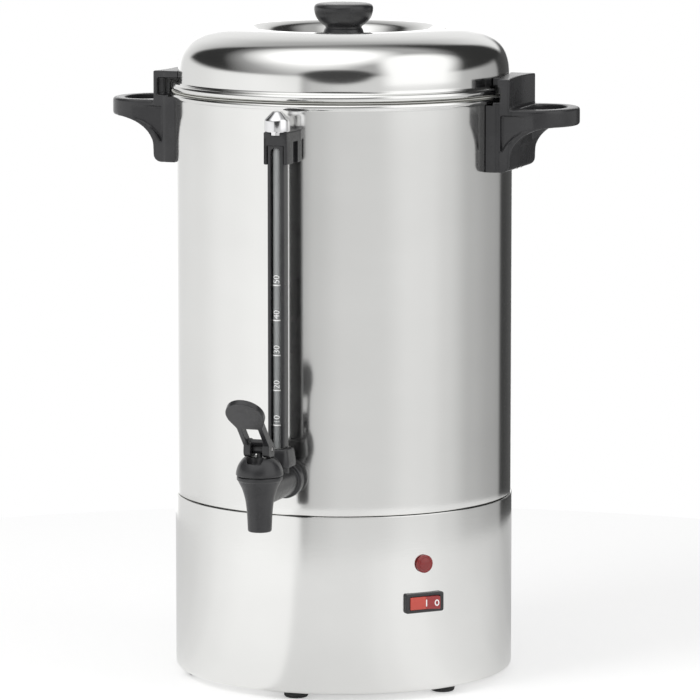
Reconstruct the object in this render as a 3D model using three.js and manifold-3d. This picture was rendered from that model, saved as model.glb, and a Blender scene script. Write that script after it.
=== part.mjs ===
// Electric coffee urn with a lever tap, a sight gauge, two moulded handles and a lid that locks under them.
// Millimetres, +Z up. The urn stands on z = 0, the tap faces -Y and the handles lie along X.
import * as THREE from 'three';
import { mergeVertices } from 'three/addons/utils/BufferGeometryUtils.js';
import Module from 'manifold-3d';

const wasm = await Module();
wasm.setup();

// Driving dimensions of the vessel
const bodyRadius = 122;
const baseRadius = 122.8;
const sheet = 1;
const gap = 0.3;
const footHeight = 5;
const footCircle = 107;
const footCount = 6;
const seamHeight = 133;
const rimHeight = 425.4;
const beadRadius = 124.8;
const lidFlangeHeight = 426.6;
const lidFlangeTop = 432;
const lidWallRadius = 119.8;
const crestHeight = 472;
const dishHeight = 459;
const knobTopHeight = 488.8;
const axisBehindOrigin = 50.2;
const wellRadius = 30;
const wellDepth = 11;

// Driving dimensions of the tap and gauge, measured outwards from the urn's axis
const tapReach = 184;
const shankHeight = 160.3;
const shankRadius = 11;
const spoutTip = 132.3;
const bodyTop = 171.4;
const leverPinHeight = 190.5;
const leverLean = THREE.MathUtils.degToRad(45);
const leverTravel = THREE.MathUtils.degToRad(40);
const bonnetTop = 184.6;
const camRise = 2.6;
const gaugeReach = 145.4;
const gaugeBottom = 185.6;
const clipBottom = 385;
const clipTop = 407.7;
const bandBottom = 398.4;

// Driving dimensions of a handle, measured from the urn's axis along X
const handleHalfWidth = 34;
const plateReach = 125.8;
const postReach = 135;
const handleReach = 176;
const loopBottom = 404.8;
const loopTop = 417.6;
const legBottom = 372.5;
const postTop = 439;
const hookUnderside = 432.8;

// Driving dimensions of the switch and lamp on the base, and of the filter set
const panelAngle = THREE.MathUtils.degToRad(46);
const switchHeight = 69.7;
const lampHeight = 97.6;
const inletHeight = 45;
const basketRadius = 76;
const basketBottom = 300;
const basketTop = 392;
const riserRadius = 6;
const riserTop = 446;

const fullTurn = Math.PI * 2;
const roundFacets = 32;

// A closed geometry as a solid that can be cut and joined
function toSolid(geometry) {
  const bare = geometry.clone();
  bare.deleteAttribute('normal');
  bare.deleteAttribute('uv');
  const merged = mergeVertices(bare, 1e-4);
  const index = merged.getIndex();
  const triangles = [];
  for (let i = 0; i < index.count; i += 3) {
    const [a, b, c] = [index.getX(i), index.getX(i + 1), index.getX(i + 2)];
    if (a !== b && b !== c && c !== a) triangles.push(a, b, c);
  }
  return new wasm.Manifold(new wasm.Mesh({
    numProp: 3,
    vertProperties: new Float32Array(merged.getAttribute('position').array),
    triVerts: new Uint32Array(triangles),
  }));
}

function toGeometry(solid) {
  const mesh = solid.getMesh();
  const geometry = new THREE.BufferGeometry();
  geometry.setAttribute('position', new THREE.BufferAttribute(mesh.vertProperties.slice(), 3));
  geometry.setIndex(new THREE.BufferAttribute(mesh.triVerts.slice(), 1));
  geometry.computeVertexNormals();
  return geometry;
}

function join(first, ...others) {
  return toGeometry(others.reduce((sum, other) => sum.add(toSolid(other)), toSolid(first)));
}

function cut(first, ...tools) {
  return toGeometry(tools.reduce((rest, tool) => rest.subtract(toSolid(tool)), toSolid(first)));
}

function common(first, second) {
  return toGeometry(toSolid(first).intersect(toSolid(second)));
}

// A profile of [radius, height] points turned about Z. It runs anticlockwise and starts and ends on the axis.
function revolve(profile, segments = 32) {
  const points = profile.map(([radius, height]) => new THREE.Vector2(radius, height));
  return new THREE.LatheGeometry(points, segments).rotateX(Math.PI / 2);
}

// The same for a profile that closes on itself away from the axis
function revolveRing(profile, segments = 32) {
  return revolve([...profile, profile[0]], segments);
}

function rod(radius, from, to, segments = 24) {
  return revolve([[0, from], [radius, from], [radius, to], [0, to]], segments);
}

function tube(inner, outer, from, to, segments = 32) {
  return revolveRing([[inner, from], [outer, from], [outer, to], [inner, to]], segments);
}

// A round bar along X or along Y, between two places on that axis
function barX(radius, from, to, segments = 20) {
  return rod(radius, from, to, segments).rotateY(Math.PI / 2);
}

function barY(radius, from, to, segments = 24) {
  return rod(radius, -to, -from, segments).rotateX(Math.PI / 2);
}

function block(x, y, z) {
  const box = new THREE.BoxGeometry(x[1] - x[0], y[1] - y[0], z[1] - z[0]);
  return box.translate((x[0] + x[1]) / 2, (y[0] + y[1]) / 2, (z[0] + z[1]) / 2);
}

// A flat outline given thickness along +Z
function plate(outline, thickness, curveSegments = 12) {
  return new THREE.ExtrudeGeometry(outline, { depth: thickness, bevelEnabled: false, curveSegments });
}

// An outline drawn as (x, z) and given width along Y, centred on the XZ plane
function sideExtrusion(outline, width, curveSegments = 12) {
  return plate(outline, width, curveSegments).rotateX(Math.PI / 2).translate(0, width / 2, 0);
}

function roundedRectangle(width, height, corner) {
  const [x, y] = [width / 2, height / 2];
  const outline = new THREE.Shape();
  outline.moveTo(-x + corner, -y);
  outline.lineTo(x - corner, -y);
  outline.absarc(x - corner, -y + corner, corner, -Math.PI / 2, 0);
  outline.absarc(x - corner, y - corner, corner, 0, Math.PI / 2);
  outline.absarc(-x + corner, y - corner, corner, Math.PI / 2, Math.PI);
  outline.absarc(-x + corner, -y + corner, corner, Math.PI, Math.PI * 1.5);
  return outline;
}

// A skin over rings of points that all have the same count, closed by a fan at each end
function loft(rings) {
  const count = rings[0].length;
  const middle = (ring) => ring.reduce((sum, p) => sum.add(p), new THREE.Vector3()).divideScalar(count);
  const points = [...rings.flat(), middle(rings[0]), middle(rings[rings.length - 1])];
  const [firstPole, lastPole] = [points.length - 2, points.length - 1];
  const faces = [];
  for (let i = 0; i < count; i += 1) {
    const next = (i + 1) % count;
    faces.push(firstPole, next, i);
    for (let k = 0; k < rings.length - 1; k += 1) {
      const [a, b] = [k * count + i, k * count + next];
      faces.push(a, b, b + count, a, b + count, a + count);
    }
    const top = (rings.length - 1) * count;
    faces.push(lastPole, top + i, top + next);
  }
  return new THREE.BufferGeometry().setFromPoints(points).setIndex(faces);
}

// A circle drawn with its own number of sides, as an outline or as a hole
function circleOutline(radius, sides, x = 0, y = 0) {
  return new THREE.Shape(Array.from({ length: sides }, (_, i) => {
    const angle = fullTurn * i / sides;
    return new THREE.Vector2(x + radius * Math.cos(angle), y + radius * Math.sin(angle));
  }));
}

function arcPoints(centre, radius, from, to, steps) {
  return Array.from({ length: steps + 1 }, (_, i) => {
    const angle = THREE.MathUtils.degToRad(from + (to - from) * i / steps);
    return [centre[0] + radius * Math.cos(angle), centre[1] + radius * Math.sin(angle)];
  });
}

// A row of [radius, height] points moved sideways by a thickness, to the left of its direction
function offsetRow(row, distance) {
  return row.map(([radius, height], i) => {
    const before = row[Math.max(i - 1, 0)];
    const after = row[Math.min(i + 1, row.length - 1)];
    const [dr, dz] = [after[0] - before[0], after[1] - before[1]];
    const length = Math.hypot(dr, dz);
    return [radius - dz / length * distance, height + dr / length * distance];
  });
}

// Finishes, one new material for each piece
const polishedSteel = () => new THREE.MeshStandardMaterial({ color: 0xd8d8d4, metalness: 1, roughness: 0.12 });
const plainSteel = () => new THREE.MeshStandardMaterial({ color: 0xb9bab8, metalness: 1, roughness: 0.35 });
const aluminium = () => new THREE.MeshStandardMaterial({ color: 0xc4c6c8, metalness: 1, roughness: 0.45 });
const brass = () => new THREE.MeshStandardMaterial({ color: 0xb99a52, metalness: 1, roughness: 0.35 });
const chrome = () => new THREE.MeshStandardMaterial({ color: 0xe6e8ea, metalness: 1, roughness: 0.06 });
const blackPlastic = () => new THREE.MeshStandardMaterial({ color: 0x2b2b2d, roughness: 0.42 });
const blackRubber = () => new THREE.MeshStandardMaterial({ color: 0x17171a, roughness: 0.75 });
const silicone = () => new THREE.MeshStandardMaterial({ color: 0xcfcfc8, roughness: 0.6 });
const ceramic = () => new THREE.MeshStandardMaterial({ color: 0xe4dfd2, roughness: 0.7 });
const redLens = () => new THREE.MeshStandardMaterial({ color: 0xb3231f, roughness: 0.15 });
const clearGlass = () => new THREE.MeshStandardMaterial({
  color: 0xdfe7e6, roughness: 0.05, transparent: true, opacity: 0.35,
});

function piece(name, geometry, material) {
  const mesh = new THREE.Mesh(geometry, material);
  mesh.name = name;
  return mesh;
}

function group(...pieces) {
  const holder = new THREE.Group();
  holder.add(...pieces);
  return holder;
}

// Where a round fitting stands on the urn's wall, turned from the tap side towards +X
function facing(angle, ...pieces) {
  const holder = group(...pieces);
  holder.rotation.z = angle;
  return holder;
}

// The space that the urn's wall takes, with clearance, for pieces that are shaped to it
function wallSpace(radius, from, to) {
  return rod(radius + 0.5, from, to, 64);
}

// Base: a drawn shell with a lip under it and a shelf on top, closed below by a vented plate
const lipInner = 98;
const shelfInner = 108;
const lipCorner = 3.3;

function makeBaseShell() {
  const profile = [
    [lipInner, footHeight],
    ...arcPoints([baseRadius - lipCorner, footHeight + lipCorner], lipCorner, -90, 0, 2),
    [baseRadius, seamHeight - 0.8],
    [baseRadius - 0.8, seamHeight],
    [shelfInner, seamHeight],
    [shelfInner, seamHeight - sheet],
    [baseRadius - sheet, seamHeight - sheet],
    [baseRadius - sheet, footHeight + lipCorner],
    [baseRadius - lipCorner, footHeight + sheet],
    [lipInner, footHeight + sheet],
  ];
  const footHoles = footPlaces().map(([x, y]) => rod(4.3, 4, 7, 8).translate(x, y, 0));
  const panelHoles = [
    block([-14, 14], [-130, -115], [switchHeight - 6, switchHeight + 6]),
    barY(5.3, -130, -115, 12).translate(0, 0, lampHeight),
  ].map((hole) => hole.rotateZ(panelAngle));
  const inletHole = block([-13.7, 13.7], [115, 130], [inletHeight - 15.7, inletHeight + 15.7]);
  return cut(revolveRing(profile, roundFacets), ...footHoles, ...panelHoles, inletHole);
}

function footPlaces() {
  return Array.from({ length: footCount }, (_, i) => {
    const angle = fullTurn * i / footCount;
    return [footCircle * Math.sin(angle), -footCircle * Math.cos(angle)];
  });
}

function makeBasePlate() {
  const outline = circleOutline(118, roundFacets);
  footPlaces().forEach(([x, y]) => outline.holes.push(circleOutline(4.3, 8, x, y)));
  const slotCount = 6;
  for (let i = 0; i < slotCount; i += 1) {
    const angle = fullTurn * (i + 0.5) / slotCount;
    const along = new THREE.Vector2(Math.cos(angle), Math.sin(angle));
    const inner = along.clone().multiplyScalar(45);
    const outer = along.clone().multiplyScalar(75);
    const slot = new THREE.Path();
    slot.absarc(outer.x, outer.y, 2.5, angle + Math.PI / 2, angle - Math.PI / 2, true);
    slot.absarc(inner.x, inner.y, 2.5, angle - Math.PI / 2, angle - Math.PI * 1.5, true);
    outline.holes.push(slot);
  }
  return plate(outline, 1.2, 2).translate(0, 0, footHeight + sheet + gap);
}

// A soft foot with a shoulder under the shell's lip and a stub through the lip and the plate
function makeFoot([x, y]) {
  const profile = [
    [0, 0], [7.4, 0], [8.7, 1.1], [9.2, footHeight - gap],
    [4, footHeight - gap], [4, 9], [0, 9],
  ];
  return revolve(profile, 8).translate(x, y, 0);
}

function makeBase() {
  const feet = footPlaces().map((place, i) => piece(`foot_${i + 1}`, makeFoot(place), blackRubber()));
  return group(
    piece('base_shell', makeBaseShell(), polishedSteel()),
    piece('base_plate', makeBasePlate(), plainSteel()),
    ...feet,
  );
}

// Heating and wiring under the tank
const floorUnderside = seamHeight + gap;

function makeMainHeater() {
  const [ringRadius, height, turns] = [48, 125.2, 24];
  const points = Array.from({ length: turns + 1 }, (_, i) => {
    const angle = THREE.MathUtils.degToRad(-70 + 320 * i / turns);
    return new THREE.Vector3(ringRadius * Math.cos(angle), ringRadius * Math.sin(angle), height);
  });
  const ends = [points[0], points[turns]].map((end) => new THREE.Vector3(end.x * 1.12, end.y * 1.12, 112));
  const route = new THREE.CatmullRomCurve3([ends[0], ...points, ends[1]]);
  const section = new THREE.Shape().absarc(0, 0, 3.8, 0, fullTurn);
  return new THREE.ExtrudeGeometry(section, { steps: 28, curveSegments: 3, extrudePath: route });
}

function makeThermostat(radius, height) {
  const can = rod(radius, 132.9 - height, 132.9, 14);
  const tag = (x) => block([x - 2.4, x + 2.4], [-0.4, 0.4], [132.9 - height - 8, 133 - height]);
  return join(can, tag(-radius * 0.5), tag(radius * 0.5));
}

function makeTerminalBlock() {
  const body = block([-22, 22], [-9, 9], [7.8, 22]);
  const clampHoles = [-14, 0, 14].map((x) => rod(2.6, 12, 23, 8).translate(x, 0, 0));
  return cut(body, ...clampHoles);
}

// Appliance inlet: a flange shaped to the shell, a case behind it and an open socket with three blades
const inletFace = 125.6;

function makeInlet() {
  const flange = plate(roundedRectangle(28, 48, 4), 8, 5);
  flange.rotateX(Math.PI / 2).translate(0, inletFace, inletHeight);
  const seated = cut(flange, wallSpace(baseRadius, 0, 100));
  const backCase = block([-13.2, 13.2], [100, 124.5], [inletHeight - 15.2, inletHeight + 15.2]);
  const socket = plate(roundedRectangle(24.4, 19.6, 4), 18, 5);
  socket.rotateX(Math.PI / 2).translate(0, inletFace + 1, inletHeight);
  const bladeSlots = inletBladePlaces().map(([x, z]) => bladeSpace(x, z, 0.3, 95, 112));
  return cut(join(seated, backCase), socket, ...bladeSlots);
}

function inletBladePlaces() {
  return [[-7, inletHeight - 2], [7, inletHeight - 2], [0, inletHeight + 3.5]];
}

function bladeSpace(x, z, margin, from, to) {
  return block([x - 1 - margin, x + 1 + margin], [from, to], [z - 2 - margin, z + 2 + margin]);
}

function makeBlades() {
  const names = ['inlet_blade_live', 'inlet_blade_neutral', 'inlet_blade_earth'];
  return inletBladePlaces().map(([x, z], i) => piece(names[i], bladeSpace(x, z, 0, 96, 120), brass()));
}

function makeElectrics() {
  const thermostat = piece('thermostat', makeThermostat(9, 9), ceramic());
  thermostat.position.set(78, 20, 0);
  const cutOut = piece('thermal_cut_out', makeThermostat(6.5, 7), ceramic());
  cutOut.position.set(-74, 34, 0);
  const terminals = piece('terminal_block', makeTerminalBlock(), ceramic());
  terminals.position.set(0, 30, 0);
  const heatPlate = tube(wellRadius + 1.4, 66, floorUnderside - 3.3, floorUnderside - gap, 24);
  const wellHeater = rod(22, 113, seamHeight - wellDepth - gap, 20);
  return group(
    piece('heat_plate', heatPlate, aluminium()),
    piece('main_heater', makeMainHeater(), plainSteel()),
    piece('pump_heater', wellHeater, aluminium()),
    thermostat,
    cutOut,
    terminals,
    piece('inlet_socket', makeInlet(), blackPlastic()),
    ...makeBlades(),
  );
}

// Switch and lamp, drawn on the tap side and then turned to their place on the base
const switchFace = 125.2;
const rockerPivot = 121.6;
const rockerTilt = THREE.MathUtils.degToRad(8);

function makeSwitchFrame() {
  const bezel = plate(roundedRectangle(30.4, 14, 1.2), 8, 3);
  bezel.rotateX(Math.PI / 2).translate(0, -switchFace + 8, switchHeight);
  const seated = cut(bezel, wallSpace(baseRadius, 0, 130));
  const housing = block([-13.6, 13.6], [-124, -102], [switchHeight - 5.7, switchHeight + 5.7]);
  const window = block([-12.1, 12.1], [-130, -112], [switchHeight - 4.9, switchHeight + 4.9]);
  return cut(join(seated, housing), window);
}

// A shallow V seen from above: one half lies flush while the other stands proud
function makeRocker() {
  const half = 11.3;
  const rise = half * Math.tan(rockerTilt);
  const outline = new THREE.Shape();
  outline.moveTo(-half, 4.6 + rise);
  outline.lineTo(-half, -1);
  outline.absarc(0, -1, 7.2, Math.PI, fullTurn, false);
  outline.lineTo(half, -1);
  outline.lineTo(half, 4.6 + rise);
  outline.lineTo(0, 4.6);
  const body = plate(outline, 9, 8).rotateZ(Math.PI).translate(0, 0, switchHeight - 4.5);
  return body.rotateZ(-rockerTilt).translate(0, -rockerPivot, 0);
}

function makeLampLens() {
  const profile = [[0, -2.2], [4.9, -2.2], [4.9, 3.2], [6.5, 3.2], [6.5, 4.6], [5.2, 5.9], [0, 6.5]];
  return revolve(profile, 14).rotateX(Math.PI / 2).translate(0, -120.2, lampHeight);
}

function makePanel() {
  return facing(
    panelAngle,
    piece('switch_frame', makeSwitchFrame(), blackPlastic()),
    piece('rocker', makeRocker(), redLens()),
    piece('lamp_lens', makeLampLens(), redLens()),
    piece('lamp_holder', barY(4.9, -117.7, -100, 12).translate(0, 0, lampHeight), blackPlastic()),
  );
}

// Tank: a drawn pot with a rolled rim and a well in its floor for the pump
function makeTank() {
  const floor = floorUnderside;
  const inner = bodyRadius - sheet;
  const profile = [
    [0, seamHeight - wellDepth],
    [wellRadius - 4, seamHeight - wellDepth],
    [wellRadius, floor],
    ...arcPoints([bodyRadius - 1.2, floor + 1.2], 1.2, -90, 0, 2),
    [bodyRadius, rimHeight - 4.6],
    ...arcPoints([beadRadius - 2.4, rimHeight - 2.1], 2.4, -60, 60, 3),
    [bodyRadius - 0.2, rimHeight],
    [inner, rimHeight - 0.4],
    [inner, floor + 3.4],
    [inner - 2.2, floor + 1.2],
    [wellRadius + 0.6, floor + 1.2],
    [wellRadius - 3.2, seamHeight - wellDepth + 1.2],
    [0, seamHeight - wellDepth + 1.2],
  ];
  return cut(revolve(profile, roundFacets), barY(9.3, -130, -110, 12).translate(0, 0, shankHeight));
}

// Handle: one moulding with a leg on the tank, a D-shaped loop, two gussets under it and a hook over the lid
const gussetReach = 165;
const gussetFoot = 382;
const fingerHalfWidth = 24;
const loopCentre = 149;
const hookStart = -20;
const recessReach = 127.6;
const recessFloor = 422.5;

function loopOutline() {
  const outline = new THREE.Shape();
  const half = handleHalfWidth - 1.6;
  outline.moveTo(124, -half);
  outline.lineTo(loopCentre, -half);
  outline.absellipse(loopCentre, 0, handleReach - loopCentre, half, -Math.PI / 2, Math.PI / 2, false, 0);
  outline.lineTo(124, half);
  return outline;
}

function fingerOutline() {
  const outline = new THREE.Shape();
  const corner = 10.5;
  const back = postReach + 3;
  outline.moveTo(back + corner, -fingerHalfWidth);
  outline.lineTo(loopCentre, -fingerHalfWidth);
  const loopDepth = handleReach - loopCentre - 9;
  outline.absellipse(loopCentre, 0, loopDepth, fingerHalfWidth, -Math.PI / 2, Math.PI / 2, false, 0);
  outline.lineTo(back + corner, fingerHalfWidth);
  outline.absarc(back + corner, fingerHalfWidth - corner, corner, Math.PI / 2, Math.PI, false);
  outline.absarc(back + corner, -fingerHalfWidth + corner, corner, Math.PI, Math.PI * 1.5, false);
  return outline;
}

function legOutline() {
  const outline = new THREE.Shape();
  outline.moveTo(112, legBottom);
  outline.lineTo(postReach - 6, legBottom);
  outline.absarc(postReach - 6, legBottom + 6, 6, -Math.PI / 2, 0, false);
  outline.lineTo(postReach, postTop);
  outline.lineTo(112, postTop);
  return outline;
}

function gussetOutline() {
  const outline = new THREE.Shape();
  outline.moveTo(postReach - 5, gussetFoot);
  outline.lineTo(postReach, gussetFoot);
  const [width, height] = [gussetReach - postReach, loopBottom - gussetFoot];
  outline.absellipse(gussetReach, gussetFoot, width, height, Math.PI, Math.PI / 2, true, 0);
  outline.lineTo(gussetReach, loopBottom + 2);
  outline.lineTo(postReach - 5, loopBottom + 2);
  return outline;
}

// The handle slides onto a tab on the wall, and two screws go up through the leg's foot into the tab
const screwPlaces = [-5.5, 5.5];
const screwReach = 129.4;
const tabReach = 133.2;
const tabBottom = 378;
const tabTop = 380.5;
const headTop = legBottom + 2.7;
const screwTop = 384;

function makeHandle() {
  const leg = sideExtrusion(legOutline(), (handleHalfWidth - 0.8) * 2, 5);
  const backPlate = block([112, plateReach], [-handleHalfWidth, handleHalfWidth], [legBottom, postTop]);
  const gussets = sideExtrusion(gussetOutline(), (handleHalfWidth - 2.5) * 2, 8);
  const loop = plate(loopOutline(), loopTop - loopBottom, 10).translate(0, 0, loopBottom);
  const fingers = plate(fingerOutline(), 60, 8).translate(0, 0, gussetFoot - 20);
  const rimRecess = rod(127.5, 420.2, hookUnderside, 48);
  const lidSpace = rod(lidWallRadius + 0.8, 430, 445, 48);
  const core = block([110, recessReach], [-40, 22], [recessFloor, hookUnderside]);
  const openEnd = block([110, recessReach + 3.9], [26, 40], [recessFloor, hookUnderside + 1]);
  const entry = block([110, recessReach - 1.6], [-40, hookStart], [hookUnderside - 1, postTop + 1]);
  const outerFace = rod(142.5, loopTop, postTop + 1, 48).translate(postReach + 138.5, 0, 0);
  const bracketPocket = block([110, 124.8], [-9, 9], [374.5, 405.5]);
  const tabPocket = block([110, tabReach + 0.4], [-10.5, 10.5], [tabBottom - 0.4, tabTop + 0.4]);
  const screwHoles = screwPlaces.flatMap((y) => [
    rod(4.2, legBottom - 1, headTop + 0.4, 10).translate(screwReach, y, 0),
    rod(2.3, headTop, screwTop + 0.6, 8).translate(screwReach, y, 0),
  ]);
  return cut(
    join(leg, backPlate, gussets, loop),
    fingers,
    wallSpace(bodyRadius, 360, 421.5),
    rimRecess,
    lidSpace,
    core,
    openEnd,
    entry,
    outerFace,
    bracketPocket,
    tabPocket,
    ...screwHoles,
  );
}

function makeHandleBracket() {
  const strap = block([118, 124.4], [-8, 8], [376, 404]);
  const tab = block([118, tabReach], [-10, 10], [tabBottom, tabTop]);
  const threads = screwPlaces.map((y) => rod(2.3, tabBottom - 1, tabTop + 1, 8).translate(screwReach, y, 0));
  return cut(join(strap, tab), wallSpace(bodyRadius, 360, 420), ...threads);
}

function makeHandleScrew(y) {
  const headBottom = headTop - 2;
  const headRadius = 3.6;
  const shankRadius = 1.9;
  const profile = [
    [0, headBottom], [headRadius, headBottom], [headRadius, headTop],
    [shankRadius, headTop], [shankRadius, screwTop], [0, screwTop],
  ];
  const slotCut = block([-5, 5], [-0.5, 0.5], [headBottom - 1, headBottom + 0.8]);
  return cut(revolve(profile, 10), slotCut).translate(screwReach, y, 0);
}

function makeHandleSet(side, angle) {
  const screws = screwPlaces.map((y, i) => (
    piece(`handle_screw_${side}_${i + 1}`, makeHandleScrew(y), plainSteel())
  ));
  return facing(
    angle,
    piece(`handle_${side}`, makeHandle(), blackPlastic()),
    piece(`handle_bracket_${side}`, makeHandleBracket(), plainSteel()),
    ...screws,
  );
}

// Tap: a body with a flared spout and a hollow shank through the wall, drawn about the spout's axis
function makeTapBody() {
  const skin = revolve([
    [0, spoutTip], [8.3, spoutTip], [8.6, 138.6], [9.1, 147.2], [10, 154.3], [12.1, 161.8], [14.8, 167.8],
    [15.9, 168.6], [16, bodyTop], [0, bodyTop],
  ], 20);
  const wallDistance = tapReach - bodyRadius;
  const shank = barY(shankRadius, 4, wallDistance - 5, 16).translate(0, 0, shankHeight);
  const collar = barY(13, wallDistance - 11.4, wallDistance - 4.3, 20).translate(0, 0, shankHeight);
  const thread = barY(9, wallDistance - 5, wallDistance + 14, 12).translate(0, 0, shankHeight);
  const gaugeBoss = rod(8, shankHeight, 172, 12).translate(0, tapReach - gaugeReach, 0);
  const chamber = revolve([
    [0, spoutTip - 1], [5.9, spoutTip - 1], [5.7, 150], [4.6, 153], [4.6, 155.8], [8, 155.8], [8.3, 158],
    [12.4, 168], [12.9, bodyTop + 1], [0, bodyTop + 1],
  ], 16);
  const bore = barY(4.5, 0, wallDistance + 20, 12).translate(0, 0, shankHeight + 1.4);
  const gaugeBore = rod(2.6, shankHeight + 1, 175, 12).translate(0, tapReach - gaugeReach, 0);
  return cut(join(skin, shank, collar, thread, gaugeBoss), chamber, bore, gaugeBore);
}

// Screwed bonnet: a round dome with a flat top that the lever's two cams stand on
function makeBonnet() {
  const dome = revolve([
    [0, bodyTop + gap], [16.4, bodyTop + gap], ...arcPoints([0, 171.8], 16.6, 4, 50.5, 4), [0, bonnetTop],
  ], 24);
  const chamber = rod(9.2, bodyTop - 1, 179.4, 16);
  const stemHole = rod(2.25, 178, 186, 10);
  return cut(dome, chamber, stemHole);
}

// A cam's side view about the pin, x outwards: a flat foot, then a toe that is the involute of a circle, so
// that the pin and the stem rise evenly while the lever is pulled
const camTravel = leverTravel + THREE.MathUtils.degToRad(3);

function camOutline() {
  const foot = leverPinHeight - bonnetTop - gap;
  const outline = new THREE.Shape();
  outline.moveTo(-4.5, -foot + 1);
  outline.lineTo(-3.5, -foot);
  outline.lineTo(camRise, -foot);
  const steps = 5;
  for (let i = 1; i <= steps; i += 1) {
    const turn = camTravel * i / steps;
    const height = foot + camRise * turn;
    outline.lineTo(
      camRise * Math.cos(turn) + height * Math.sin(turn),
      camRise * Math.sin(turn) - height * Math.cos(turn),
    );
  }
  outline.lineTo(7.2, 2.6);
  outline.lineTo(2.4, 7.7);
  outline.lineTo(-1.2, 4.6);
  outline.lineTo(-4.5, 1.4);
  return outline;
}

// Lever: an oval thumb pad on two legs that end in two cams astride the stem's eye
const leverHalfWidth = 9.4;
const legInner = 6;
const camInner = 4.4;
const padHalfWidth = 13.6;
const padMiddle = 41;
const padTip = 55;
const padStart = 26;

function makeLever() {
  const thumb = new THREE.Shape();
  thumb.moveTo(-leverHalfWidth, padStart);
  thumb.bezierCurveTo(-leverHalfWidth, 31, -padHalfWidth, 33, -padHalfWidth, padMiddle);
  thumb.bezierCurveTo(-padHalfWidth, 49.6, -8, padTip, 0, padTip);
  thumb.bezierCurveTo(8, padTip, padHalfWidth, 49.6, padHalfWidth, padMiddle);
  thumb.bezierCurveTo(padHalfWidth, 33, leverHalfWidth, 31, leverHalfWidth, padStart);
  const pad = plate(thumb, 4, 4).rotateX(Math.PI / 2).translate(0, 1, 0);
  const legs = [-leverHalfWidth, legInner].map((from) => (
    block([from, from + leverHalfWidth - legInner], [-3, 3], [2, padStart + 3])
  ));
  const bridge = block([-7, 7], [-1, 2], [5, 8.5]);
  const arm = join(pad, ...legs, bridge).rotateX(leverLean);
  const camWidth = leverHalfWidth - camInner;
  const cams = [-camInner, leverHalfWidth].map((to) => (
    plate(camOutline(), camWidth, 4).rotateX(Math.PI / 2).rotateZ(-Math.PI / 2).translate(to, 0, 0)
  ));
  const pinHole = barX(1.85, -12, 12, 10);
  return cut(join(arm, ...cams), pinHole).translate(0, 0, leverPinHeight);
}

const collarTop = 165;

// Stem: a rod with a collar for the spring and a round eye that the lever's pin goes through
function makeStem() {
  const stem = revolve([
    [0, 158.7], [1.9, 158.7], [1.9, collarTop - 1.4], [5.5, collarTop - 1.4], [5.5, collarTop],
    [1.9, collarTop], [1.9, leverPinHeight - 2.4], [0, leverPinHeight - 2.4],
  ], 12);
  const eye = barX(3.7, -4.1, 4.1, 14).translate(0, 0, leverPinHeight);
  const eyeHole = barX(1.7, -5, 5, 10).translate(0, 0, leverPinHeight);
  return cut(join(stem, eye), eyeHole);
}

function makeSeatCup() {
  const profile = [[0, 156.2], [6.6, 156.2], [6.9, 158], [6, 161.5], [2.2, 161.5], [2.2, 158.4], [0, 158.4]];
  return revolve(profile, 12);
}

// Compression spring between the stem's collar and the bonnet, with flat closed ends
function makeSpring() {
  const [meanRadius, wire, coils, stepsPerCoil] = [4.4, 0.55, 5, 8];
  const [low, high] = [collarTop + gap + wire, 179.4 - gap - wire];
  const rings = Array.from({ length: coils * stepsPerCoil + 1 }, (_, i) => {
    const share = i / (coils * stepsPerCoil);
    const angle = fullTurn * i / stepsPerCoil;
    const height = low + (high - low) * share;
    return Array.from({ length: 5 }, (__, k) => {
      const around = fullTurn * k / 5;
      const reach = meanRadius + wire * Math.cos(around);
      return new THREE.Vector3(
        reach * Math.cos(angle), reach * Math.sin(angle), height + wire * Math.sin(around),
      );
    });
  });
  const clearance = (high - low) / coils - wire * 2;
  console.log(`tap spring: least gap between coils ${clearance.toFixed(2)} mm`);
  return loft(rings.map((ring) => ring.reverse()));
}

function makeGaskets() {
  const hub = barY(9.3, -140, -100, 12).translate(0, 0, shankHeight);
  const disc = (from, to) => barY(12.6, from, to, 16).translate(0, 0, shankHeight);
  const outer = cut(disc(-126, -119), wallSpace(bodyRadius, 140, 180), hub);
  const insideWall = rod(bodyRadius - sheet - 0.8, 140, 180, 72);
  const inner = cut(common(disc(-122, -116.4), insideWall), hub);
  return [outer, inner];
}

function makeTapNut() {
  const hexagon = new THREE.Shape(Array.from({ length: 6 }, (_, i) => (
    new THREE.Vector2(15.5 * Math.cos(fullTurn * i / 6), 15.5 * Math.sin(fullTurn * i / 6))
  )));
  const nut = plate(hexagon, 6).rotateX(Math.PI / 2).translate(0, -110, shankHeight);
  return cut(nut, barY(9.3, -120, -100, 12).translate(0, 0, shankHeight));
}

function makeTap() {
  const [outerGasket, innerGasket] = makeGaskets();
  const pin = barX(1.4, -leverHalfWidth, leverHalfWidth, 10).translate(0, 0, leverPinHeight);
  const aboutSpout = group(
    piece('tap_body', makeTapBody(), blackPlastic()),
    piece('tap_bonnet', makeBonnet(), blackPlastic()),
    piece('lever_pin', pin, plainSteel()),
    piece('tap_lever', makeLever(), blackPlastic()),
    piece('tap_stem', makeStem(), blackPlastic()),
    piece('seat_cup', makeSeatCup(), silicone()),
    piece('tap_spring', makeSpring(), plainSteel()),
  );
  aboutSpout.position.y = -tapReach;
  return group(
    aboutSpout,
    piece('tap_gasket_outer', outerGasket, blackRubber()),
    piece('tap_gasket_inner', innerGasket, silicone()),
    piece('tap_nut', makeTapNut(), plainSteel()),
  );
}

// Sight gauge: a glass tube in a slotted guard, between a socket on the tap and a clip on the wall
function squareRing(half, corner, z) {
  const points = roundedRectangle(half * 2, half * 2, corner).getSpacedPoints(16).slice(0, -1);
  return points.map((p) => new THREE.Vector3(p.x, p.y, z));
}

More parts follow.
